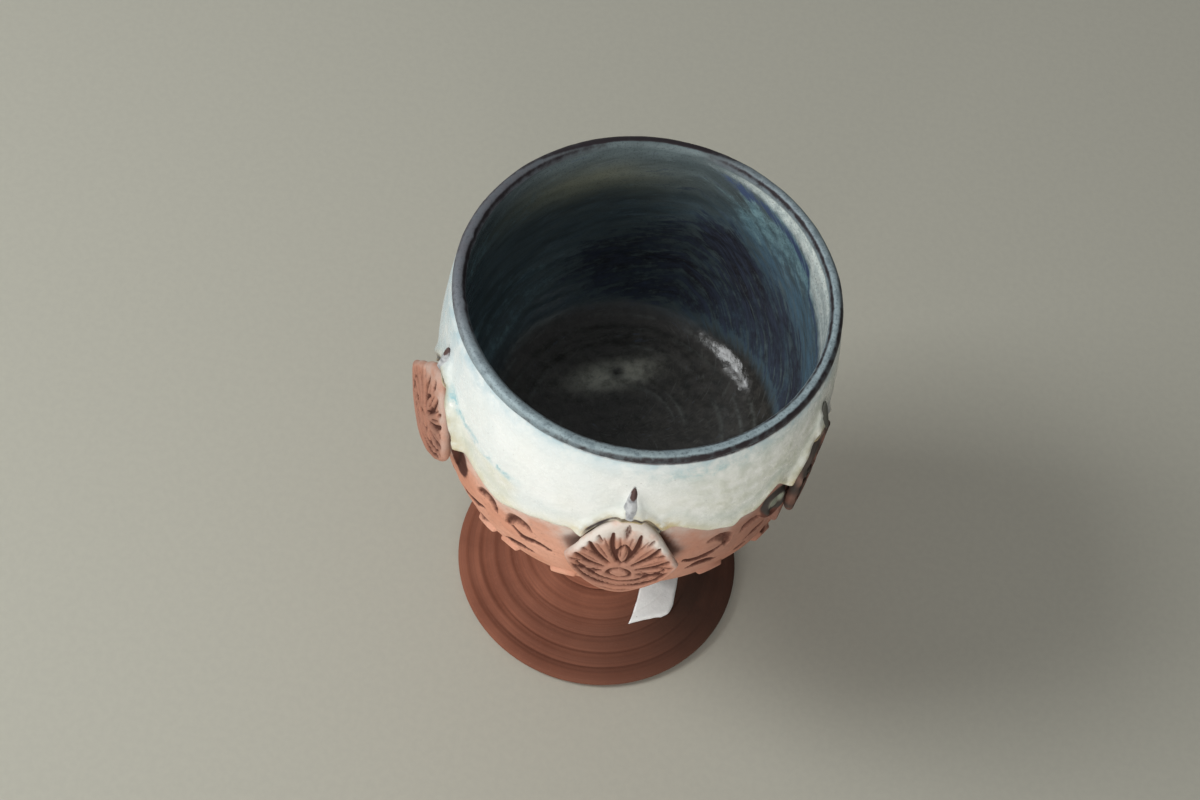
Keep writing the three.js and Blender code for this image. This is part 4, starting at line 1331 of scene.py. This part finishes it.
def make_medallion(medallion):
    bm = flat_disc(0.88, 43, SLAB_EDGE, 240)
    unit = places_of(bm)
    share, angle, thick = radius_of(unit), angle_of(unit), unit[:, 2]
    seed = medallion["azimuth"] / 10
    edge = lifted(fan(angle, 14), thick * 2)
    torn = 1 - 0.012 * medallion["torn"] * (1 + lumps(edge, 4.5, seed))
    torn -= 0.012 * (1 + lumps(edge, 9, seed))
    flat = fan(angle, share * slab_reach(angle) * np.where(share > 0.9, torn, lerp(1, torn, share)))
    front = thick > 0.9
    cut, stain = palmette(flat)
    fade = 1 - ease(share, 0.86, 0.95)
    crown = 0.25 * (1 - share ** 2) + 0.1 * lumps(lifted(flat), 5, seed)
    deep = thick * (SLAB_THICKNESS - 0.3) + np.where(front, cut * fade + crown, 0)
    places = placed(lifted(flat, deep), press_on(medallion))
    move_to(bm, seat_on_wall(places, 0.05))
    # Dark crust on the right medallion, partly painted shade where it lies in shade
    burnt = 0.7 * medallion["char"] * (1 + 0.9 * lumps(places, 4, seed))
    rim = ease(share, 0.8, 0.98) * ease(flat[:, 1], -8, 6)
    top = ease(flat[:, 1], 2, 13) * (0.4 + 0.6 * ease(share, 0.4, 0.9)) + 0.9 * rim
    haze = medallion["haze"] * within(top - 2 * burnt)
    # A medallion's dark tone fades where the haze lies; on the right one it is partly painted shade
    paint(
        bm, haze=haze, tone=medallion["tone"] * (1 - 0.9 * haze),
        stain=np.where(front, stain * fade, 0) + burnt,
        char=within(medallion["char"] * (1.0 + 0.9 * lumps(places, 3, seed))),
    )
    side = medallion["side"]
    finish_piece(bm, "stamped_medallion_" + side, PALE_CLAY, "medallion_" + side)


def make_pad(medallion):
    bm = flat_disc(0.9, 10, PAD_EDGE, 64)
    unit = places_of(bm)
    press = 1 - 0.06 * (1 + lumps(unit * 6, 3, medallion["azimuth"]))
    places = np.stack([
        unit[:, 0] * PAD_HALF_WIDTH * press + medallion["pad_side"],
        unit[:, 1] * PAD_HALF_HEIGHT * press - PAD_DROP,
        -0.1 - (1 - unit[:, 2]) * PAD_DEPTH,
    ], axis=1)
    move_to(bm, seat_on_wall(placed(places, press_on(medallion)), 0.05))
    paint(bm, stain=0.25 + 0.25 * lumps(unit * 6, 2), haze=0.4, tone=medallion["tone"])
    side = medallion["side"]
    finish_piece(bm, "slip_pad_" + side, PALE_CLAY, "slip_pad_" + side)


def make_thorn(medallion):
    lean = math.radians(medallion["lean"])
    rise = SLAB_RISE * math.cos(math.radians(medallion["turn"])) * math.cos(lean)
    base = medallion["height"] + rise + SLAB_THICKNESS * math.sin(lean) + 0.2
    base_radius = wall_radius(base) + 0.3
    up, out = THORN_TIP - base, wall_radius(THORN_TIP) + THORN_TIP_PROUD - base_radius
    rows = np.linspace(0, 1, 30)[1:-1]
    section = [(0, 0), (0.6, 0), (0.92, 0.01)] + [((1 - share) ** 0.7, share) for share in rows] + [(0, 1)]
    bm = turn(section, 40)
    unit = places_of(bm)
    share = unit[:, 2]
    ridge = 1 + 0.08 * lumps(unit * 8, 2.2, medallion["azimuth"])
    front = 1 + 0.25 * np.where(unit[:, 1] < 0, near(unit[:, 0], 0, 0.5), 0)
    places = np.stack([
        unit[:, 0] * THORN_HALF_WIDTH * ridge,
        unit[:, 1] * THORN_HALF_DEPTH * ridge * front,
        share * math.hypot(up, out),
    ], axis=1)
    stand = Matrix.Translation((0, -base_radius, base))
    tilt = Matrix.Rotation(math.atan2(out, up), 4, "X")
    move_to(bm, seat_on_wall(placed(places, spun(medallion["azimuth"]) @ stand @ tilt), 0.1))
    leaf = near(unit[:, 0], 0, 0.42) * np.where(unit[:, 1] < 0.1, 1.0, 0.3)
    # Painted shade, partly: the right thorn is darkened all over where it lies in shade
    burnt = 2 * medallion["char"]
    bare = ease(share, 0.58, 0.74) * leaf + ease(share, 0.82, 0.93) + burnt
    paint(bm, bare=within(bare), char=within(burnt))
    side = medallion["side"]
    finish_piece(bm, "clay_thorn_" + side, THORN_GLAZE, "thorn_" + side)


# White run on the foot

RUN_LEFT = 12.2
RUN_RIGHT = 24.2
RUN_FRONT = -22.6
RUN_BACK = -4.0
RUN_CORNER = 5.0
RUN_SLOPE = 5.2
RUN_WAIST = 1.5
RUN_THICKNESS = 1.1
RUN_TOP = 12.3
RUN_MIDDLE = np.array([(RUN_LEFT + RUN_RIGHT) / 2, (RUN_FRONT + RUN_BACK) / 2])


def run_outline():
    """Outline of the run about its middle: waisted on the left, pointed in front, round at the right"""
    turned_up = RUN_FRONT + RUN_SLOPE
    waist = RUN_LEFT + RUN_WAIST
    left = bend((waist, RUN_BACK), (waist, lerp(RUN_BACK, RUN_FRONT, 0.7)), (RUN_LEFT, RUN_FRONT), 12)
    corner_start = (RUN_RIGHT - RUN_CORNER, turned_up - 1.4)
    corner = bend(corner_start, (RUN_RIGHT, turned_up), (RUN_RIGHT, turned_up + RUN_CORNER), 16)
    outline = np.array(left + corner + [(RUN_RIGHT, RUN_BACK), left[0]])
    sides = [np.linspace(a, b, 40, endpoint=False) for a, b in zip(outline, outline[1:])]
    return np.vstack(sides) - RUN_MIDDLE


def make_run():
    bm = flat_disc(0.86, 30, RUN_EDGE, 220)
    unit = places_of(bm)
    share, angle = radius_of(unit), angle_of(unit)
    reach = reach_of(run_outline())(angle)
    reach *= 1 - 0.035 * (1 + lumps(lifted(fan(angle, 9)), 3.2, 1.0))
    flat = RUN_MIDDLE + fan(angle, share * reach)
    radius = radius_of(flat)
    slope, ridges = foot_slope(radius), foot_ridges(azimuth_of(flat), radius)
    soft = slope + 0.35 + 0.3 * ridges
    under = slope + ridges + 0.03
    crown = RUN_THICKNESS + 0.15 * lumps(lifted(flat), 6, 4) - 0.25 * share ** 2
    crown *= ease(RUN_BACK - flat[:, 1], 0, 6)
    height = lerp(under, np.maximum(soft, under + 0.2) + crown, unit[:, 2])
    move_to(bm, lifted(flat, np.minimum(height, RUN_TOP)))
    paint(bm, clean=1)
    finish_piece(bm, "white_run", WHITE_GLAZE, "white_glaze_run")


make_foot()
make_stem()
make_coil("lower_coil", "lower_joint_coil", STEM_BASE_RADIUS, 1)
make_coil("upper_coil", "upper_joint_coil", STEM_TOP_RADIUS, -1)
make_bowl()
make_lining()
make_coat()
make_run()
for medallion in MEDALLIONS:
    make_medallion(medallion)
    make_pad(medallion)
    make_thorn(medallion)


# Floor, light and camera, in metres

STAGE_HALF = 4.0
LAMP_TARGET = Vector((0, 0, 0.08))
CAMERA_TARGET = Vector((0, 0, 0.084))
CAMERA_DISTANCE = 0.5137
CAMERA_ELEVATION = 58.595
CAMERA_YAW = 0.776
CAMERA_PITCH = 0.190
CAMERA_ROLL = -11.083
CAMERA_LENS = 60.0
CAMERA_SENSOR = 36.0


def make_floor():
    bm = bmesh.new()
    bmesh.ops.create_grid(bm, x_segments=2, y_segments=2, size=STAGE_HALF)
    make = Finish("floor_paint")
    grain = make.speckle(2.0, 3)
    colour = make.blend(make.level(grain, 0.3, 0.7), (0.53, 0.513, 0.43), (0.55, 0.533, 0.445))
    floor = show_mesh(bm, "floor", make.done(colour, 0.7, make.bumps((grain, 0.02))))


def looking_at(target, azimuth, elevation, distance):
    """Where a lamp or the camera stands to look at a target from an azimuth and an elevation"""
    aim = Matrix.Translation(target) @ spun(azimuth) @ spun(90 - elevation, "X")
    return aim @ Matrix.Translation((0, 0, distance))


def make_lamp(name, azimuth, elevation, distance, width, height, power, colour):
    lamp = bpy.data.lights.new(name, "AREA")
    lamp.shape = "RECTANGLE"
    lamp.size = width
    lamp.size_y = height
    lamp.energy = power
    lamp.color = colour
    show(name, lamp).matrix_world = looking_at(LAMP_TARGET, azimuth, elevation, distance)


def make_world():
    """A plain studio, pale on the left and at the level of the floor, darker overhead and to the right"""
    world = bpy.data.worlds.new("studio")
    bpy.context.scene.world = world
    make = Nodes(world)
    view = make.add("ShaderNodeTexCoord").outputs["Generated"]
    way = make.add("ShaderNodeSeparateXYZ", Vector=view).outputs
    lift = make.add("ShaderNodeMapRange", Value=way["Z"], From_Max=0.6, To_Min=0.42, To_Max=0.28)
    side = make.add("ShaderNodeMapRange", Value=way["X"], From_Min=-1.0, To_Min=1.4, To_Max=0.3)
    strength = make.calc("MULTIPLY", lift.outputs["Result"], side.outputs["Result"])
    light = make.add("ShaderNodeBackground", Color=(0.97, 0.98, 1.0, 1.0), Strength=strength)
    make.add("ShaderNodeOutputWorld", Surface=light.outputs["Background"])


def make_camera():
    camera = bpy.data.cameras.new("camera")
    camera.lens = CAMERA_LENS
    camera.sensor_width = CAMERA_SENSOR
    camera.clip_start = 0.01
    holder = show("camera", camera)
    stand = looking_at(CAMERA_TARGET, 0, CAMERA_ELEVATION, CAMERA_DISTANCE)
    holder.matrix_world = stand @ spun(CAMERA_YAW, "Y") @ spun(CAMERA_PITCH, "X") @ spun(-CAMERA_ROLL)
    bpy.context.scene.camera = holder


make_floor()
make_world()
make_lamp(
    "window", azimuth=-78, elevation=46, distance=0.85,
    width=0.28, height=0.36, power=3.8, colour=(0.96, 0.99, 1.0),
)
make_lamp(
    "bounce", azimuth=0, elevation=8, distance=1.3,
    width=1.05, height=0.25, power=10.0, colour=(1.0, 0.99, 0.97),
)
make_camera()
bpy.context.scene.view_settings.view_transform = "Standard"
